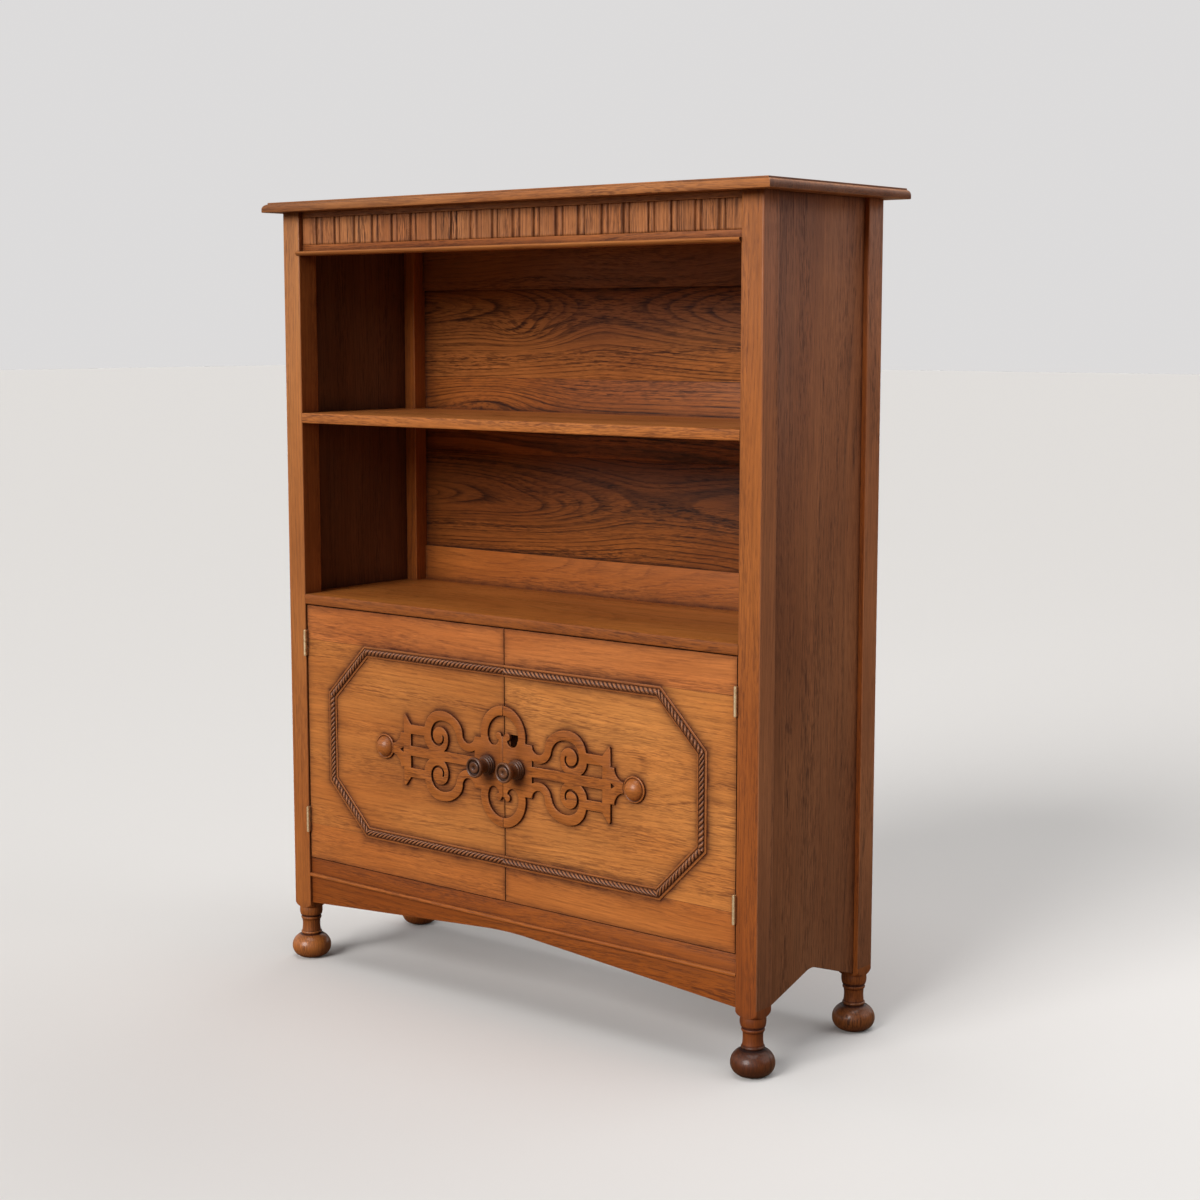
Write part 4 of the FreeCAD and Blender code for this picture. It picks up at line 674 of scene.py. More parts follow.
def flute_piece():
    """Broad flat members, barely hollowed, and a narrow reed between each two, cut by hand: no two quite alike."""
    pitch, count, narrow, groove = 38.5, 20, 6.4, 3.4
    z0, z1 = 1081.0, 1120.5
    low, back = FR0 + 3.9, FR0 + 6.0
    cols = []          # x, depth at mid height, hollow: (start, end, depth) or None, soil: painted shade in the grooves and at the edges beside them, with streaks that differ at random
    soils_and_shades = []

    def flat(x0, x1, high, key):
        """A broad member, hollowed inside a rounded outline."""
        n = 20
        for k in range(n + 1):
            u = k / n
            x = x0 + (x1 - x0) * u
            edge = min(x - x0, x1 - x)
            fall = 0.7 * max(0.0, 1 - edge / 0.9) ** 2
            tool = 0.34 * (rnd(key, k, 9) - 0.5) * (0.0 if k in (0, n) else 1.0)     # marks of the gouge
            soil_and_shade = 0.50 * math.exp(-edge / 1.5) + 0.40 * rnd(key, k, 11) ** 2 + 0.22 * rnd(key, 19) ** 2
            cols.append((x, high + fall + tool, (x0 + 1.2, x1 - 1.2, 0.25 + 0.30 * rnd(key, 3)), soil_and_shade))

    def reed(x0, x1, high):
        n = 6
        for k in range(n + 1):
            u = k / n
            cols.append((x0 + (x1 - x0) * u, high + 1.3 * abs(2 * u - 1) ** 2.4, None, 0.42 * abs(2 * u - 1) ** 2))

    def cut(x0, x1):
        w = x1 - x0
        for f, dd in ((0.14, low - 1.3), (0.36, low - 0.1), (0.62, low), (0.86, low - 1.2)):
            cols.append((x0 + w * f, dd, None, 0.72))

    first = -pitch * (count - 1) / 2
    x0 = -IN
    for c in range(count):
        a = first + c * pitch - narrow / 2 + (rnd(c, 1) - 0.5) * 3.4
        b = a + narrow + (rnd(c, 2) - 0.5) * 2.2
        ga, gb = groove * (0.65 + 0.7 * rnd(c, 3)), groove * (0.65 + 0.7 * rnd(c, 4))
        flat(x0, a - ga, FR0 + 0.4 + 0.4 * rnd(c, 5), c)
        cut(a - ga, a)
        reed(a, b, FR0 + 0.7 + 0.5 * rnd(c, 6))
        cut(b, b + gb)
        x0 = b + gb
    flat(x0, IN, FR0 + 0.6, 77)
    rows = [0.0, 0.010, 0.03, 0.06, 0.09, 0.12, 0.15, 0.18, 0.22, 0.26, 0.32, 0.40, 0.5, 0.60, 0.68, 0.74, 0.78, 0.82, 0.85, 0.88, 0.91, 0.94, 0.97, 0.990, 1.0]
    bm = bmesh.new()
    grid = []
    for v in rows:
        z = z0 + (z1 - z0) * v
        e = min(v, 1 - v)
        close = max(0.0, 1 - e / 0.045) ** 2      # the ends turn down to the fillets
        row = []
        for x, dd, hollow, soil_and_shade in cols:
            # darker towards the top and bottom ends where the flutes stop: partly painted shade, partly grime
            soils_and_shades.append(max(soil_and_shade, (0.25 + 0.6 * rnd(round(x / 2.5), v < 0.5, 13)) * max(0.0, 1 - e / (0.05 + 0.11 * rnd(round(x / 4.0), v < 0.5, 17)))))
            if hollow:
                h0, h1, deep = hollow
                half, tall, r = (h1 - h0) / 2, (z1 - z0) / 2 - 0.8, 6.0
                qx, qz = abs(x - (h0 + h1) / 2) - half + r, abs(z - (z0 + z1) / 2) - tall + r
                inside = r - (math.hypot(max(qx, 0.0), max(qz, 0.0)) + min(max(qx, qz), 0.0))
                f = min(max(inside / 8.0, 0.0), 1.0)
                dd = dd + deep * f * f * (3 - 2 * f)
            lean = (rnd(round(x / 30.0), 7) - 0.5) * 0.8 * (v - 0.5)
            row.append(bm.verts.new(P3(min(max(x + lean, -IN), IN), min(dd + 1.0 * close, back - 0.3), z)))
        grid.append(row)
    for a, b in zip(grid, grid[1:]):
        for k in range(len(cols) - 1):
            bm.faces.new([a[k], a[k + 1], b[k + 1], b[k]])
    # closed at the back
    bl = [bm.verts.new(P3(x, back, z)) for x, z in ((-IN, z0), (IN, z0), (IN, z1), (-IN, z1))]
    bm.faces.new(list(reversed(bl)))
    bm.faces.new([bl[0], bl[1]] + list(reversed(grid[0])))
    bm.faces.new(list(grid[-1]) + [bl[2], bl[3]])
    bm.faces.new([bl[0]] + [r[0] for r in grid] + [bl[3]])
    bm.faces.new([bl[1]] + [r[-1] for r in grid] + [bl[2]])
    ob = finish_mesh("frieze_fluted_strip_carved", bm, 45.0)
    at = ob.data.attributes.new("shade_and_grime", "FLOAT", "POINT")
    at.data.foreach_set("value", np.array(soils_and_shades + [0.0] * 4, dtype=np.float32))
    return ob


ob = flute_piece()
wear_it(ob, "frieze_fluted_strip", "carcase",
        oak("flute_oak", ob, ("z", "x", "y"), FLUTE, 53, ring=0.0042, pith=(1.4, 0.3), tilt=0.0, figure=0.50, pores=0.95, shade_and_dirt=0.35, wear=0.9, wave=0.5, stain=0.6, shade_and_grime=True, end=False))


def sweep_x(name, section, x0, x1, angle=32.0):
    """A straight moulding: section is a list of (d, z), run along X."""
    bm = bmesh.new()
    a = [bm.verts.new(P3(x0, d, z)) for d, z in section]
    b = [bm.verts.new(P3(x1, d, z)) for d, z in section]
    n = len(section)
    for i in range(n):
        j = (i + 1) % n
        bm.faces.new([a[i], a[j], b[j], b[i]])
    bm.faces.new(list(reversed(a)))
    bm.faces.new(b)
    return finish_mesh(name, bm, angle)




def lip_piece():
    """Lip under the frieze, round above and falling back below; its front runs a little way over the left post."""
    nose = outline([[(0.0, 1065.4), (-0.3, 1065.4)], [(-0.3, 1065.4), (-2.5, 1066.6), (-4.2, 1068.5)], [(-4.2, 1068.5), (-4.5, 1069.0)],
                    [(-4.5, 1069.0), (-4.3, 1070.6), (-2.8, 1071.6)], [(-2.8, 1071.6), (0.0, 1071.6)]], 6)
    bm = bmesh.new()
    cut = {x: [bm.verts.new(P3(x, d, z)) for d, z in nose] for x in (-IN - 4.5, -IN, IN)}
    deep = {x: [bm.verts.new(P3(x, 7.0, z)) for z in (1065.4, 1071.6)] for x in (-IN, IN)}

    def skin(a, b):
        for k in range(len(a) - 1):
            bm.faces.new([a[k], a[k + 1], b[k + 1], b[k]])
    skin(cut[-IN - 4.5], cut[-IN])
    skin(cut[-IN], cut[IN])
    bm.faces.new([cut[-IN][0], cut[-IN][-1], cut[-IN - 4.5][-1], cut[-IN - 4.5][0]])
    bm.faces.new([cut[-IN][0], deep[-IN][0], deep[-IN][1], cut[-IN][-1]])
    bm.faces.new(cut[-IN - 4.5])
    bm.faces.new(cut[IN] + [deep[IN][1], deep[IN][0]])
    bm.faces.new([cut[-IN][0], cut[IN][0], deep[IN][0], deep[-IN][0]])
    bm.faces.new([cut[-IN][-1], cut[IN][-1], deep[IN][1], deep[-IN][1]])
    bm.faces.new([deep[-IN][0], deep[IN][0], deep[IN][1], deep[-IN][1]])
    return finish_mesh("frieze_lip_moulded", bm)


ob = lip_piece()
wear_it(ob, "frieze_lip_moulding", "carcase", oak("lip_oak", ob, LONG, tint(GOLD, 0.98, 1.06, 1.30), 55, ring=0.004, pith=(0.06, 0.03), tilt=0.01, figure=0.25, wear=0.9, shade_and_dirt=0.7))

# ---------------------------------------------------------------------------
# Boards
# ---------------------------------------------------------------------------


def plan(d0, d1):
    pts = [(-IN, d0), (IN, d0)]
    if d0 < POST:
        pts += [(IN, POST), (PANEL_IN, POST)]
    pts += [(PANEL_IN, DEPTH - POST), (IN, DEPTH - POST), (IN, d1), (-IN, d1), (-IN, DEPTH - POST), (-PANEL_IN, DEPTH - POST)]
    if d0 < POST:
        pts += [(-PANEL_IN, POST), (-IN, POST)]
    return pts


def is_front(d0):
    def keep(e):
        return all(abs(v.co.y - Y(d0)) < 1e-6 for v in e.verts) and abs(e.verts[0].co.x - e.verts[1].co.x) > 0.3
    return keep


def bore(ob, x, d, r, deep, near, away, n=28):
    """A blind hole up into the underside of a board; near and away are two corners of the board, one on each side of the hole."""
    bm = bmesh.new()
    bm.from_mesh(ob.data)
    under = max((f for f in bm.faces if f.normal.z < -0.99), key=lambda f: f.calc_area())
    rim = list(under.verts)
    mid = P3(x, d, rim[0].co.z * 1000.0)
    if sum(a.co.x * b.co.y - b.co.x * a.co.y for a, b in zip(rim, rim[1:] + rim[:1])) < 0:
        rim.reverse()
    ia, ib = (min(range(len(rim)), key=lambda i: (rim[i].co - P3(*c, rim[0].co.z * 1000.0)).length) for c in (near, away))
    turn = [math.atan2(rim[i].co.y - mid.y, rim[i].co.x - mid.x) for i in (ia, ib)]
    ang = [turn[0] - 2 * math.pi * k / n for k in range(n)]
    low = [bm.verts.new(mid + Vector((math.cos(t), math.sin(t), 0.0)) * (r / 1000.0)) for t in ang]
    high = [bm.verts.new(v.co + Vector((0.0, 0.0, deep / 1000.0))) for v in low]
    kb = round(((turn[0] - turn[1]) % (2 * math.pi)) * n / (2 * math.pi)) % n
    walk = [(rim * 2)[ia:ib + 1 if ib > ia else ib + len(rim) + 1], (rim * 2)[ib:ia + 1 if ia > ib else ia + len(rim) + 1]]
    bmesh.ops.delete(bm, geom=[under], context="FACES_ONLY")
    bm.faces.new(walk[0] + low[kb:] + low[:1])
    bm.faces.new(walk[1] + low[:kb + 1])
    for k in range(n):
        bm.faces.new([low[k], low[(k + 1) % n], high[(k + 1) % n], high[k]])
    bm.faces.new(high)
    bmesh.ops.recalc_face_normals(bm, faces=bm.faces)
    bm.to_mesh(ob.data)
    bm.free()
    for p in ob.data.polygons:
        p.use_smooth = True
    ob.data.set_sharp_from_angle(angle=math.radians(32.0))


ob = prism("upper_shelf_board", plan(0.0, 262.0), "xd", 820.0, 835.0, 2.0, 4, is_front(0.0))
wear_it(ob, "upper_shelf", "carcase", oak("shelf_oak", ob, FLAT, tint(GOLD, 1.16, 1.20, 1.38), 61, ring=0.0055, pith=(0.02, -0.1), tilt=0.04, figure=0.3, pores=0.7, wear=0.6))
ob = prism("middle_board_board", plan(0.0, 258.0), "xd", 549.5, 564.5, 2.0, 4, is_front(0.0))
bore(ob, -22.0, DOOR_D1 + 5.0, 2.9, 9.5, (-IN, 0.0), (IN, 258.0))
kind = dict(ring=0.0055, pith=(-0.04, -0.1), tilt=-0.04, figure=0.3, pores=0.7, wear=0.6)
# lit and shaded copies: the top and other faces lighter and bluer, painted light, and the front edge darker, painted
# shade
wear_it(ob, "middle_board", "carcase", [oak("middle_oak", ob, FLAT, tint(RED, 1.14, 1.30, 1.40), 63, **kind),
                                               oak("middle_edge_oak", ob, FLAT, tint(RED, 0.78, 0.80, 0.94), 63, **kind)])
for p in ob.data.polygons:
    p.material_index = 1 if p.normal.y < -0.5 else 0
ob = prism("bottom_board_board", plan(20.0, 258.0), "xd", 147.0, 160.0, 0.6)
wear_it(ob, "bottom_board", "carcase", oak("bottom_oak", ob, FLAT, SIDE, 65, ring=0.0055, pith=(0.03, -0.1), tilt=0.04, figure=0.35, wear=0.2))

# ---------------------------------------------------------------------------
# Apron and its bead
# ---------------------------------------------------------------------------
a_slope = (118.0 - 89.0) / IN
tip = arc3((-40.0, 118.0 - 40 * a_slope), (0.0, 118.0 - 22 * a_slope), (40.0, 118.0 - 40 * a_slope), 12)
ob = prism("apron_rail_board", [(-IN, 89.0)] + tip + [(IN, 89.0), (IN, 160.0), (-IN, 160.0)], "xz", 4.0, 20.0, 1.0)
wear_it(ob, "apron_rail", "carcase", oak("apron_oak", ob, LONG, tint(RED, 0.85, 0.80, 0.75), 71, ring=0.0045, pith=(0.05, 0.09), tilt=-0.02, figure=0.32, pores=0.7, wear=0.6, wave=0.7,
                                                   gradient=((0.78, 0.70, 0.56), (1.06, 1.06, 0.95))))
bead = outline([[(4.0, 130.5), (2.6, 130.5)], [(2.6, 130.5), (-0.4, 133.5), (2.6, 136.5)], [(2.6, 136.5), (4.0, 136.5)]], 12)
ob = sweep_x("apron_bead_moulded", bead, -IN, IN, 50.0)
wear_it(ob, "apron_bead", "carcase", oak("bead_oak", ob, LONG, RED, 73, ring=0.004, pith=(0.05, 0.03), tilt=0.01, figure=0.25, wear=0.7))

# ---------------------------------------------------------------------------
# Back
# ---------------------------------------------------------------------------
for k, (node, z0, z1) in enumerate((("back_top_rail", 1018.0, TOP_UNDER), ("back_middle_rail", 535.0, 618.0), ("back_bottom_rail", 122.0, 172.0))):
    ob = board_box(node + "_board", -IN, IN, 258.0, 270.0, z0, z1, 0.8)
    wear_it(ob, node, "carcase", oak(node + "_oak", ob, LONG, (tint(BACK, 0.78, 0.95, 1.30), tint(RED, 0.95, 0.98, 1.08), BACK)[k], 81 + k, ring=0.005, pith=(0.06, 0.09), tilt=0.015, figure=0.3, pores=0.7, wear=0.3, shade_and_dirt=0.8))
pair = []
for k, (z0, z1, tones, pith, bow, knots, wave, figure) in enumerate((
    (612.0, 769.0, deeper(tint(BACK, 0.64, 0.65, 0.66), 1.12, 0.62), (0.012, 0.062), (0.040, 0.10, 0.05), ((-0.150, 0.010, 0.018, 0.110, 0.040),), 0.75, 0.90),
    (769.0, 885.0, deeper(tint(BACK, 0.83, 0.84, 0.79), 1.14, 0.60), (-0.060, 0.050), None, ((-0.260, 0.030, -0.022, 0.120, 0.026),), 0.55, 1.0),
    (885.0, 1024.0, deeper(tint(BACK, 0.97, 1.10, 1.28), 1.08, 0.70), (0.034, 0.062), (-0.043, 0.13, 0.030), ((-0.186, -0.004, 0.020, 0.075, 0.022),), 0.50, 0.88),
)):
    # three boards, glued edge to edge
    ob = board_box("upper_back_board_%d" % k, -406.0, 406.0, 262.0, 267.0, z0, z1, 0.5, 2)
    m = oak("upper_back_oak_%d" % k, ob, LONG, tones, 87 + 5 * k, ring=0.0060, pith=pith, tilt=0.012, figure=figure, pores=0.95, wave=wave,
            wear=0.0, shade_and_dirt=0.8, stain=0.5, knots=knots, bow=bow)
    ob.data.materials.append(m)
    pair.append(ob)
bm = bmesh.new()
for k, o in enumerate(pair):
    n0 = len(bm.faces)
    bm.from_mesh(o.data)
    bm.faces.ensure_lookup_table()
    for f in bm.faces[n0:]:
        f.material_index = k
back_mats = [o.data.materials[0] for o in pair]
for o in pair:
    bpy.data.objects.remove(o)
ob = finish_mesh("upper_back_panel_boards", bm)
wear_it(ob, "upper_back_panel", "carcase", back_mats)
ob = board_box("lower_back_panel_board", -406.0, 406.0, 262.0, 267.0, 166.0, 541.0, 0.0)
wear_it(ob, "lower_back_panel", "carcase",
        oak("lower_back_oak", ob, LONG, BACK, 89, ring=0.0065, pith=(-0.04, 0.05), tilt=0.06, figure=0.7, wave=1.0, wear=0.0, shade_and_dirt=0.8))
# batten with a notch for the slide bolt
stop = [(-394.0, 20.6), (-31.5, 20.6), (-31.5, 34.5), (-12.5, 34.5), (-12.5, 20.6), (394.0, 20.6), (394.0, 42.0), (-394.0, 42.0)]
ob = prism("door_stop_batten", stop, "xd", 537.5, 549.5, 0.6)
wear_it(ob, "door_stop", "carcase", oak("stop_oak", ob, FLAT, SIDE, 91, ring=0.005, pith=(0.03, 0.05), tilt=0.02, figure=0.5, wear=0.3))

# ---------------------------------------------------------------------------
# Doors
# ---------------------------------------------------------------------------


def lattice_board(name, x0, x1, z0, z1, hole=None, e=0.35, step=4.0):
    """Door board with eased edges and, if asked, a square-cut opening through it. Its front is a fine lattice."""
    def lines(a, b, cut, fine):
        v = {a, a + e, b - e, b}
        if cut:
            v |= {cut[0] - e, cut[0], cut[1], cut[1] + e}
        if fine:
            n = int((b - a) / step)
            v |= {c for c in (a + (b - a) * k / n for k in range(1, n)) if all(abs(c - o) > 1.2 for o in v)}
        return sorted(v)
    cx, cz = (hole[:2], hole[2:]) if hole else (None, None)
    bm = bmesh.new()

    def rim(x, z):
        if x in (x0, x1) or z in (z0, z1):
            return True
        return bool(hole) and cx[0] <= x <= cx[1] and cz[0] <= z <= cz[1]

    def sheet(xs, zs, d, inward):
        v = {}
        for x in xs:
            for z in zs:
                if not (hole and cx[0] < x < cx[1] and cz[0] < z < cz[1]):
                    v[x, z] = bm.verts.new(P3(x, d + (inward * e if rim(x, z) else 0.0), z))
        for xa, xb in zip(xs, xs[1:]):
            for za, zb in zip(zs, zs[1:]):
                if hole and cx[0] < (xa + xb) / 2 < cx[1] and cz[0] < (za + zb) / 2 < cz[1]:
                    continue
                bm.faces.new([v[xa, za], v[xb, za], v[xb, zb], v[xa, zb]])
        return v
    fx, fz = lines(x0, x1, cx, True), lines(z0, z1, cz, True)
    bx, bz = lines(x0, x1, cx, False), lines(z0, z1, cz, False)
    front = sheet(fx, fz, DOOR_D0, 1.0)
    back = sheet(bx, bz, DOOR_D1, -1.0)

    def walls(xa, xb, za, zb):
        for z in (za, zb):
            bm.faces.new([front[x, z] for x in fx if xa <= x <= xb] + [back[x, z] for x in reversed(bx) if xa <= x <= xb])
        for x in (xa, xb):
            bm.faces.new([front[x, z] for z in fz if za <= z <= zb] + [back[x, z] for z in reversed(bz) if za <= z <= zb])
    walls(x0, x1, z0, z1)
    if hole:
        walls(*cx, *cz)
    return finish_mesh(name, bm)


def shade_and_grime_on(ob, side, sgn):
    """Painted shade, with some grime, lies darkest beside the fret, the rope, the boss and along the door's edges: how
    much, at each point of the front.
    """
    src = NODES[side + "_fret"].data
    v = np.array([p.co[:] for p in src.vertices])
    flat = np.abs(v[:, 1] - Y(DOOR_D0 - 4.0)) < 2e-6
    ends = np.array([[v[e.vertices[0], 0], v[e.vertices[0], 2], v[e.vertices[1], 0], v[e.vertices[1], 2]] for e in src.edges if flat[e.vertices[0]] and flat[e.vertices[1]]]) * 1000.0
    line = [(sgn * u, ORN_Z + h) for u, h in octagon(0.0)]
    rope = np.array([[*a, *b] for a, b in zip(line, line[1:])])
    me = ob.data
    p = np.array([q.co[:] for q in me.vertices]) * 1000.0
    x, z = p[:, 0], p[:, 2]

    def reach(segs):
        best = np.full(len(x), 1e9)
        for x0, z0, x1, z1 in segs:
            dx, dz = x1 - x0, z1 - z0
            t = np.clip(((x - x0) * dx + (z - z0) * dz) / max(dx * dx + dz * dz, 1e-9), 0.0, 1.0)
            best = np.minimum(best, np.hypot(x - x0 - t * dx, z - z0 - t * dz))
        return best
    rope_gap = np.maximum(reach(rope) - 8.0, 0.0)
    boss_gap = np.maximum(np.hypot(x - sgn * 233.0, z - ORN_Z) - 18.0, 0.0)
    edge_gap = np.minimum(np.minimum(np.abs(x) - DOOR_MEET, DOOR_EDGE - np.abs(x)), np.minimum(z - 161.6, 548.0 - z))
    fret_gap = reach(ends)
    h = np.maximum(0.95 * np.exp(-fret_gap / 6.5), 0.95 * np.exp(-rope_gap / 6.0))
    h = np.maximum(h, 0.30 * np.exp(-fret_gap / 26.0))
    h = np.maximum(h, np.maximum(0.8 * np.exp(-boss_gap / 5.0), 0.62 * np.exp(-edge_gap / 5.0)))
    h[p[:, 1] > (Y(DOOR_D0) * 1000.0 + 1.0)] = 0.0
    at = me.attributes.new("shade_and_grime", "FLOAT", "POINT")
    at.data.foreach_set("value", h.astype(np.float32))


def door_boards(side, sgn):
    a, b = sorted((sgn * DOOR_MEET, sgn * DOOR_EDGE))
    body = side + "_door"
    for k, (part, z0, z1, tones) in enumerate((("bottom_rail", 161.6, 215.0, tint(DOOR, 0.99, 1.04, 1.10)), ("panel", 215.0, 497.0, tint(PANEL, 1.09, 1.18, 1.32) if sgn > 0 else tint(PANEL, 0.92, 0.93, 0.98)),
                                             ("top_rail", 497.0, 548.0, tint(DOOR, 1.13, 1.22, 1.55)))):
        ob = lattice_board("%s_door_%s_board" % (side, part), a, b, z0, z1, (11.0, 29.0, 377.5, 400.5) if part == "panel" and sgn > 0 else None)
        shade_and_grime_on(ob, side, sgn)
        s = 101 + 10 * (sgn > 0) + k
        if part == "panel":
            m = oak(side + "_door_panel_oak", ob, LONG, tones, s, ring=0.0052, pith=(0.03 * sgn, 0.095), tilt=0.035 * sgn, figure=0.36 if sgn > 0 else 0.28, pores=0.66, wave=0.75 if sgn > 0 else 0.55, shade_and_dirt=0.9, wear=0.25,
                    stain=0.22, shade_and_grime=True)
        else:
            m = oak("%s_door_%s_oak" % (side, part), ob, LONG, tones, s, ring=0.0042, pith=(0.03, 0.08 * (1 if k else -1)), tilt=0.03 * sgn, figure=0.25, pores=0.58, wave=0.55, shade_and_dirt=0.9,
                    wear=0.3, stain=0.25, shade_and_grime=True)
        wear_it(ob, "%s_door_%s" % (side, part), body, m)


# rope moulding -------------------------------------------------------------
ROPE_W, ROPE_H, ROPE_C = 345.0, 136.2, 72.0


def octagon(inset):
    w, h = ROPE_W - inset, ROPE_H - inset
    c = ROPE_C + inset * (math.sqrt(2) - 2)
    return [(ORN_MEET, h), (w - c, h), (w, h - c), (w, -h + c), (w - c, -h), (ORN_MEET, -h)]


def rope_piece(side, sgn):
    """Flat strip with a rope-carved bead between two fillets, mitred at the corners of the octagon."""
    base = octagon(0.0)
    name = side + "_rope_carved"
    bm = bmesh.new()
    d_face = DOOR_D0

    def at(u, v, lift):
        return P3(sgn * u, d_face - lift, ORN_Z + v)

    def offset_point(seg, f, inset):
        a, b = octagon(inset)[seg], octagon(inset)[seg + 1]
        return a[0] + (b[0] - a[0]) * f, a[1] + (b[1] - a[1]) * f

    # strip: (inset towards the middle, height)
    strip = [(-7.2, 0.0), (-7.2, 0.9), (-6.95, 1.3), (-6.5, 1.5), (-4.4, 1.5), (-3.9, 0.6), (6.3, 0.6), (6.8, 1.4), (8.5, 1.4), (8.95, 1.2), (9.2, 0.8), (9.2, 0.0)]
    for seg in range(5):
        ra = [bm.verts.new(at(*offset_point(seg, 0.0, i), h)) for i, h in strip]
        rb = [bm.verts.new(at(*offset_point(seg, 1.0, i), h)) for i, h in strip]
        n = len(strip)
        for k in range(n):
            f = bm.faces.new([ra[k], ra[(k + 1) % n], rb[(k + 1) % n], rb[k]])
            f.material_index = 1
        if seg == 0:
            bm.faces.new(ra).material_index = 1
        if seg == 4:
            bm.faces.new(rb).material_index = 1
    bmesh.ops.remove_doubles(bm, verts=bm.verts, dist=1e-6)

    # bead: half round cut into strands that lean across it
    R, c_in, n = 4.3, 1.2, 21
    pitch = 7.6
    hand = (-1, -1, -1, 1, -1) if sgn > 0 else (-1, -1, 1, 1, -1)
    run = 0.0
    for seg in range(5):
        (ax, av), (bx, bv) = base[seg], base[seg + 1]
        length = math.hypot(bx - ax, bv - av)
        steps = max(2, int(length / 0.5))
        rings, marks = [], []
        for s in range(steps + 1):
            f = s / steps
            dist = run + length * f
            ring, mark = [], []
            for k in range(n):
                th = math.pi * k / (n - 1)             # outer side to inner side
                ph = dist / pitch + (th / math.pi - 0.5) * 1.6 * hand[seg]
                lobe = abs(math.sin(math.pi * ph)) ** 0.8
                bite = (1.0 - lobe) * (0.35 + 0.65 * math.sin(th))
                r = R * (1.0 - 0.50 * bite) * (1 + 0.04 * (rnd(math.floor(ph), seg) - 0.5))
                inset = c_in - (R - 1.1 * bite) * math.cos(th)
                ring.append(bm.verts.new(at(*offset_point(seg, f, inset), 0.3 + r * math.sin(th))))
                mark.append(lobe)
            rings.append(ring)
            marks.append(mark)
        for a, b, ma, mb in zip(rings, rings[1:], marks, marks[1:]):
            for k in range(n - 1):
                # faces low between the strands take the near-black gap oak: painted shade
                deep = (ma[k] + ma[k + 1] + mb[k] + mb[k + 1]) / 4 < 0.70
                bm.faces.new([a[k], a[k + 1], b[k + 1], b[k]]).material_index = 2 if deep else 0
            bm.faces.new([a[n - 1], a[0], b[0], b[n - 1]]).material_index = 0
        bm.faces.new(list(reversed(rings[0]))).material_index = 0
        bm.faces.new(rings[-1]).material_index = 0
        run += length
    ob = finish_mesh(name, bm, 55.0)
    kind = dict(ring=0.004, pith=(0.05, 0.05), tilt=0.02, figure=0.2, pores=0.4, end=False)
    wear_it(ob, side + "_rope_moulding", side + "_door", [
        oak(side + "_rope_oak", ob, LONG, ROPE, 131 + sgn, shade_and_dirt=0.8, wear=0.5, coat=0.2, **kind),
        oak(side + "_rope_fillet_oak", ob, LONG, STRIP, 135 + sgn, shade_and_dirt=1.0, wear=0.8, **kind),
        oak(side + "_rope_gap_oak", ob, LONG, ROPE_GAP_SHADE, 138 + sgn, shade_and_dirt=0.8, wear=0.0, **kind)])


# fret ----------------------------------------------------------------------


def fret_piece(side, sgn):
    """The sawn strapwork, its front edges softened."""
    src = NODES[side + "_fret"].data
    bm = bmesh.new()
    bm.from_mesh(src)
    bmesh.ops.remove_doubles(bm, verts=bm.verts, dist=2e-6)
    bmesh.ops.dissolve_limit(bm, angle_limit=math.radians(0.6), verts=bm.verts, edges=bm.edges)
    front = Y(DOOR_D0 - 4.0)

    def keep(e):
        return all(abs(v.co.y - front) < 2e-6 for v in e.verts)
    bm.normal_update()
    edges = [e for e in bm.edges if len(e.link_faces) == 2 and keep(e) and e.calc_face_angle(0.0) > math.radians(40)]
    bmesh.ops.bevel(bm, geom=edges, offset=0.0009, offset_type="OFFSET", segments=3, profile=0.5, affect="EDGES", clamp_overlap=False, loop_slide=True)
    ob = finish_mesh(side + "_fret_sawn", bm, 30.0)
    wear_it(ob, side + "_fret", side + "_door",
            oak(side + "_fret_oak", ob, LONG, CARVED, 141 + sgn, ring=0.0045, pith=(0.04, 0.08), tilt=0.02 * sgn, figure=0.28, pores=0.7, shade_and_dirt=0.9, wear=0.9))


def boss_piece(side, sgn):
    x = sgn * 233.0
    dome_h = 9.4
    R = (14.8 ** 2 + dome_h ** 2) / (2 * dome_h)
    a = math.asin(14.8 / R)
    prof = [(0.0, 0.0), (17.6, 0.0), (18.0, 0.4)]
    prof += outline([[(18.0, 0.4), (18.0, 1.6)], [(18.0, 1.6), (17.3, 3.5), (15.9, 3.3)], [(15.9, 3.3), (15.3, 2.9)], [(15.3, 2.9), (14.9, 3.3)], [(14.9, 3.3), (14.8, 3.8)]], 8)
    prof += [(R * math.sin(a * (1 - k / 22)), 13.2 - R + R * math.cos(a * (1 - k / 22))) for k in range(1, 22)] + [(0.0, 13.2)]
    ob = lathe(side + "_boss_turned", prof, lambda u, v, h: P3(x + u, DOOR_D0 - h, ORN_Z + v), 88)
    wear_it(ob, side + "_boss", side + "_door",
            oak(side + "_boss_oak", ob, LONG, CARVED, 151 + sgn, ring=0.0035, pith=(0.05, 0.06), tilt=0.05, figure=0.15, pores=0.5, shade_and_dirt=0.9, wear=0.4, coat=0.3, end=False))


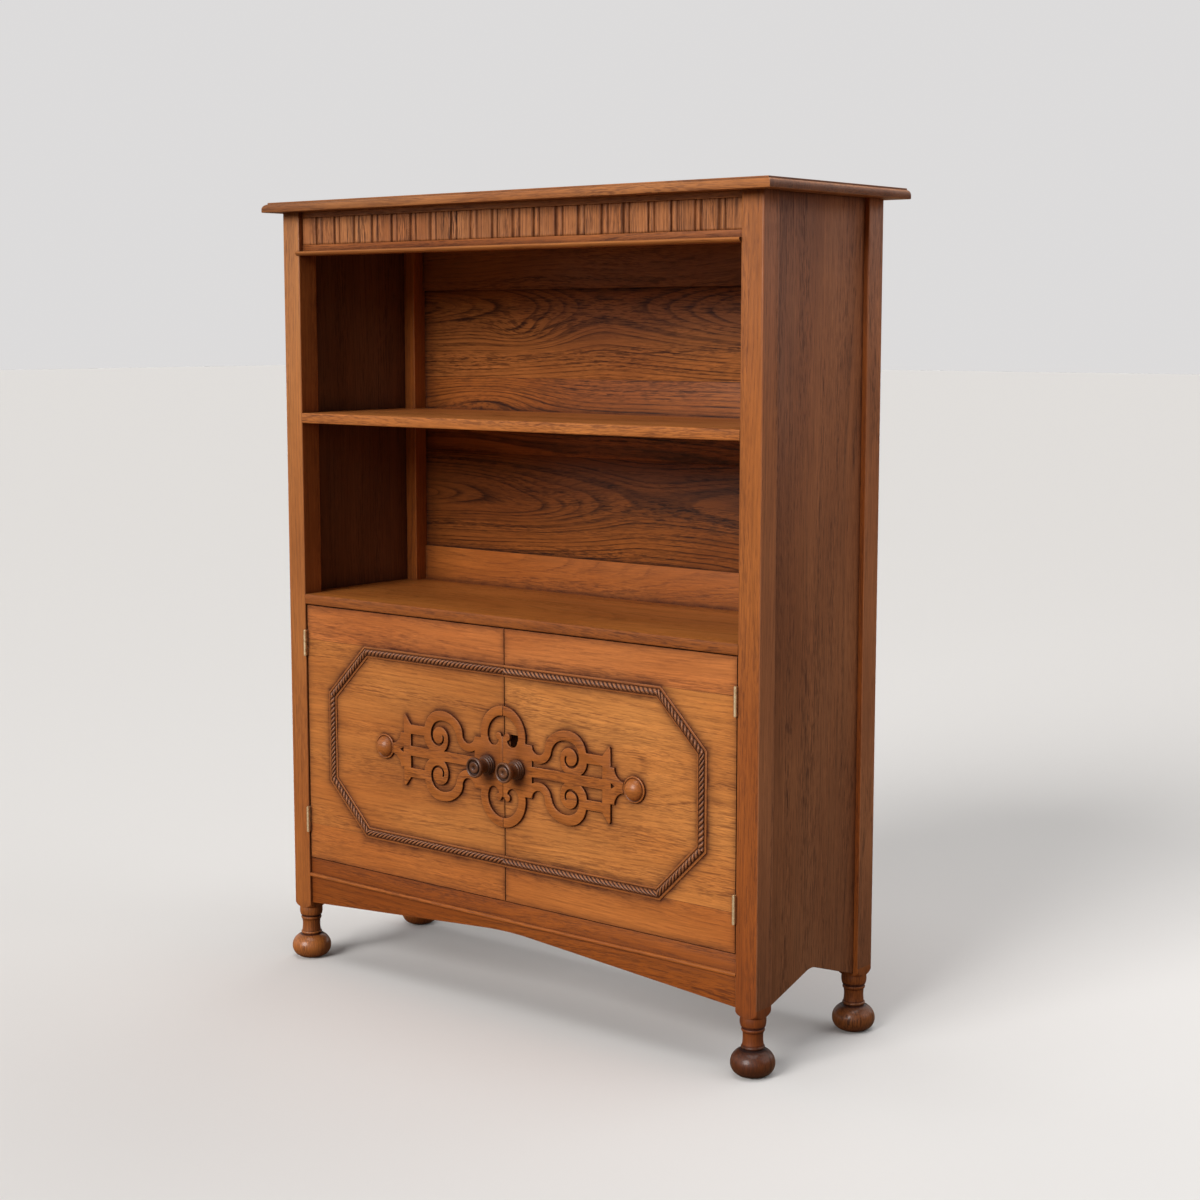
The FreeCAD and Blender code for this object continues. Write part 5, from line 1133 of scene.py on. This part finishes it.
def knob_piece(side, sgn):
    x = sgn * 27.5
    k = 31.0
    prof = [(0.0, 0.0), (13.2, 0.0)] + outline([
        [(13.2, 0.0), (13.9, 1.8), (13.0, 3.6)],
        [(13.0, 3.6), (12.3, 3.9)],
        [(12.3, 3.9), (13.1, 5.5), (12.2, 7.0)],
        [(12.2, 7.0), (11.4, 7.2)],
        [(11.4, 7.2), (12.1, 8.8), (11.1, 10.2)],
        [(11.1, 10.2), (10.4, 10.5)],
        [(10.4, 10.5), (9.3, 16.0), (10.4, 21.4)],
        [(10.4, 21.4), (13.2, 23.6), (14.3, 26.6)],
        [(14.3, 26.6), (14.1, k - 1.0), (12.8, k)],
        [(12.8, k), (11.6, k - 0.6), (10.6, k - 2.8)],
        [(10.6, k - 2.8), (8.8, k - 3.1)],
        [(8.8, k - 3.1), (7.6, k - 1.0), (5.6, k - 0.7)],
        [(5.6, k - 0.7), (3.4, k - 1.0)],
        [(3.4, k - 1.0), (2.4, k - 1.8), (1.6, k - 2.9)],
        [(1.6, k - 2.9), (0.0, k - 3.1)],
    ], 9)
    ob = lathe(side + "_knob_turned", prof, lambda u, v, h: P3(x + u, DOOR_D0 - 4.0 - h, ORN_Z + v), 80)
    wear_it(ob, side + "_knob", side + "_door",
            oak(side + "_knob_oak", ob, LONG, KNOB, 161 + sgn, ring=0.003, pith=(0.05, 0.06), tilt=0.05, figure=0.2, pores=0.4, shade_and_dirt=1.0, wear=0.35, coat=0.4, end=False))


for side, sgn in (("left", -1), ("right", 1)):
    door_boards(side, sgn)
    rope_piece(side, sgn)
    fret_piece(side, sgn)
    boss_piece(side, sgn)
    knob_piece(side, sgn)

# ---------------------------------------------------------------------------
# Metalwork and dowels keep their construction shapes.
# ---------------------------------------------------------------------------
brass = metal("aged_brass", (0.86, 0.70, 0.46), (0.52, 0.37, 0.21), 0.34, 1.0)
steel = metal("dull_steel", (0.22, 0.21, 0.20), (0.10, 0.085, 0.075), 0.45, 2.0)
screw = metal("worn_brass_screw", (0.66, 0.49, 0.27), (0.30, 0.19, 0.10), 0.36, 3.0)
for n, o in NODES.items():
    kind = None
    if "screws" in n:
        kind = screw
    elif n == "lock_case":
        kind = steel
    elif "hinge" in n or n in ("lock_bolt", "door_bolt_plate", "door_bolt_rod"):
        kind = brass
    if kind:
        o.data.materials.clear()
        o.data.materials.append(kind)
for n in ("shelf_dowels", "top_dowels"):
    o = NODES[n]
    m = oak(n + "_oak", o, LONG, BARE, 171, ring=0.003, pith=(0.01, 0.02), tilt=0.0, figure=0.4, wear=0.0, coat=0.0)
    o.data.materials.clear()
    o.data.materials.append(m)

# ---------------------------------------------------------------------------
# Stage, light and camera
# ---------------------------------------------------------------------------
bm = bmesh.new()
bmesh.ops.create_grid(bm, x_segments=2, y_segments=2, size=40.0)
me = bpy.data.meshes.new("floor")
bm.to_mesh(me)
bm.free()
floor = bpy.data.objects.new("floor", me)
bpy.context.scene.collection.objects.link(floor)
fm = bpy.data.materials.new("pale_floor")
fm.use_nodes = True
fs = fm.node_tree.nodes["Principled BSDF"]
# seen pale, but throwing little and warm light back on the object
fw = Net(fm.node_tree)
seen = fw.node("ShaderNodeLightPath").outputs["Is Camera Ray"]
fw.put(fs.inputs["Base Color"], fw.mix(seen, (0.25, 0.180, 0.120, 1.0), (0.78, 0.765, 0.75, 1.0)))
fs.inputs["Roughness"].default_value = 0.9
fs.inputs["Specular IOR Level"].default_value = 0.0
floor.data.materials.append(fm)

world = bpy.data.worlds.new("studio")
bpy.context.scene.world = world
world.use_nodes = True
bg = world.node_tree.nodes["Background"]
bg.inputs[0].default_value = (0.82, 0.825, 0.84, 1.0)
bg.inputs[1].default_value = 0.09
# what stands behind the object is a pale backdrop, brighter than the light it gives
pale = world.node_tree.nodes.new("ShaderNodeBackground")
pale.inputs[0].default_value = (0.72, 0.71, 0.71, 1.0)
pale.inputs[1].default_value = 1.0
path = world.node_tree.nodes.new("ShaderNodeLightPath")
either = world.node_tree.nodes.new("ShaderNodeMixShader")
ww = Net(world.node_tree)
aim = ww.node("ShaderNodeSeparateXYZ")
ww.put(aim.inputs[0], ww.node("ShaderNodeTexCoord").outputs["Generated"])
ahead = ww.math("MULTIPLY", path.outputs["Is Glossy Ray"], ww.ramp(aim.outputs[1], -0.1, -0.7))
ww.put(either.inputs[0], ww.math("MAXIMUM", path.outputs["Is Camera Ray"], ahead))
world.node_tree.links.new(bg.outputs[0], either.inputs[1])
world.node_tree.links.new(pale.outputs[0], either.inputs[2])
world.node_tree.links.new(either.outputs[0], world.node_tree.nodes["World Output"].inputs[0])


def sun(name, azimuth, elevation, width, power, colour):
    """Broad even light from far off; azimuth 0 shines on the front, and a positive one comes from the right."""
    li = bpy.data.lights.new(name, "SUN")
    li.energy = power
    li.color = colour
    li.angle = math.radians(width)
    o = bpy.data.objects.new(name, li)
    az, el = math.radians(azimuth), math.radians(elevation)
    o.rotation_euler = Vector((-math.sin(az) * math.cos(el), math.cos(az) * math.cos(el), -math.sin(el))).to_track_quat("-Z", "Y").to_euler()
    o.location = (math.sin(az) * 4, -math.cos(az) * 4, 3.0)
    bpy.context.scene.collection.objects.link(o)
    return o


sun("key", -2.0, 27.0, 32.0, 2.65, (1.0, 0.98, 0.96))
sun("overhead", 30.0, 84.0, 40.0, 1.0, (1.0, 0.99, 0.98))
# a broad screen on the right, nearer to the top than to the feet
screen = bpy.data.lights.new("screen", "AREA")
screen.shape = "SQUARE"
screen.size = 2.4
screen.energy = 23.0
screen.color = (0.93, 0.96, 1.0)
so = bpy.data.objects.new("screen", screen)
so.location = (2.75, 1.05, 1.95)
so.rotation_euler = (Vector((0.3, 0.0, 0.75)) - so.location).to_track_quat("-Z", "Y").to_euler()
so.visible_camera = False
bpy.context.scene.collection.objects.link(so)
sun("rear", 178.0, 34.0, 60.0, 0.75, (1.0, 0.98, 0.95))
sun("left", -98.0, 20.0, 70.0, 0.50, (1.0, 0.98, 0.96))

cam = bpy.data.cameras.new("camera")
cam.sensor_width = 36.0
cam.lens = 2130.0 / 1200.0 * 36.0
co = bpy.data.objects.new("camera", cam)
co.location = P3(1962.5, -2157.8, 960.2)
co.rotation_euler = (math.radians(90.0 - 7.28), 0.0, math.radians(39.65))
bpy.context.scene.collection.objects.link(co)
bpy.context.scene.camera = co

vs = bpy.context.scene.view_settings
vs.view_transform = "Standard"
vs.look = "None"
vs.exposure = 0.0
vs.gamma = 1.0
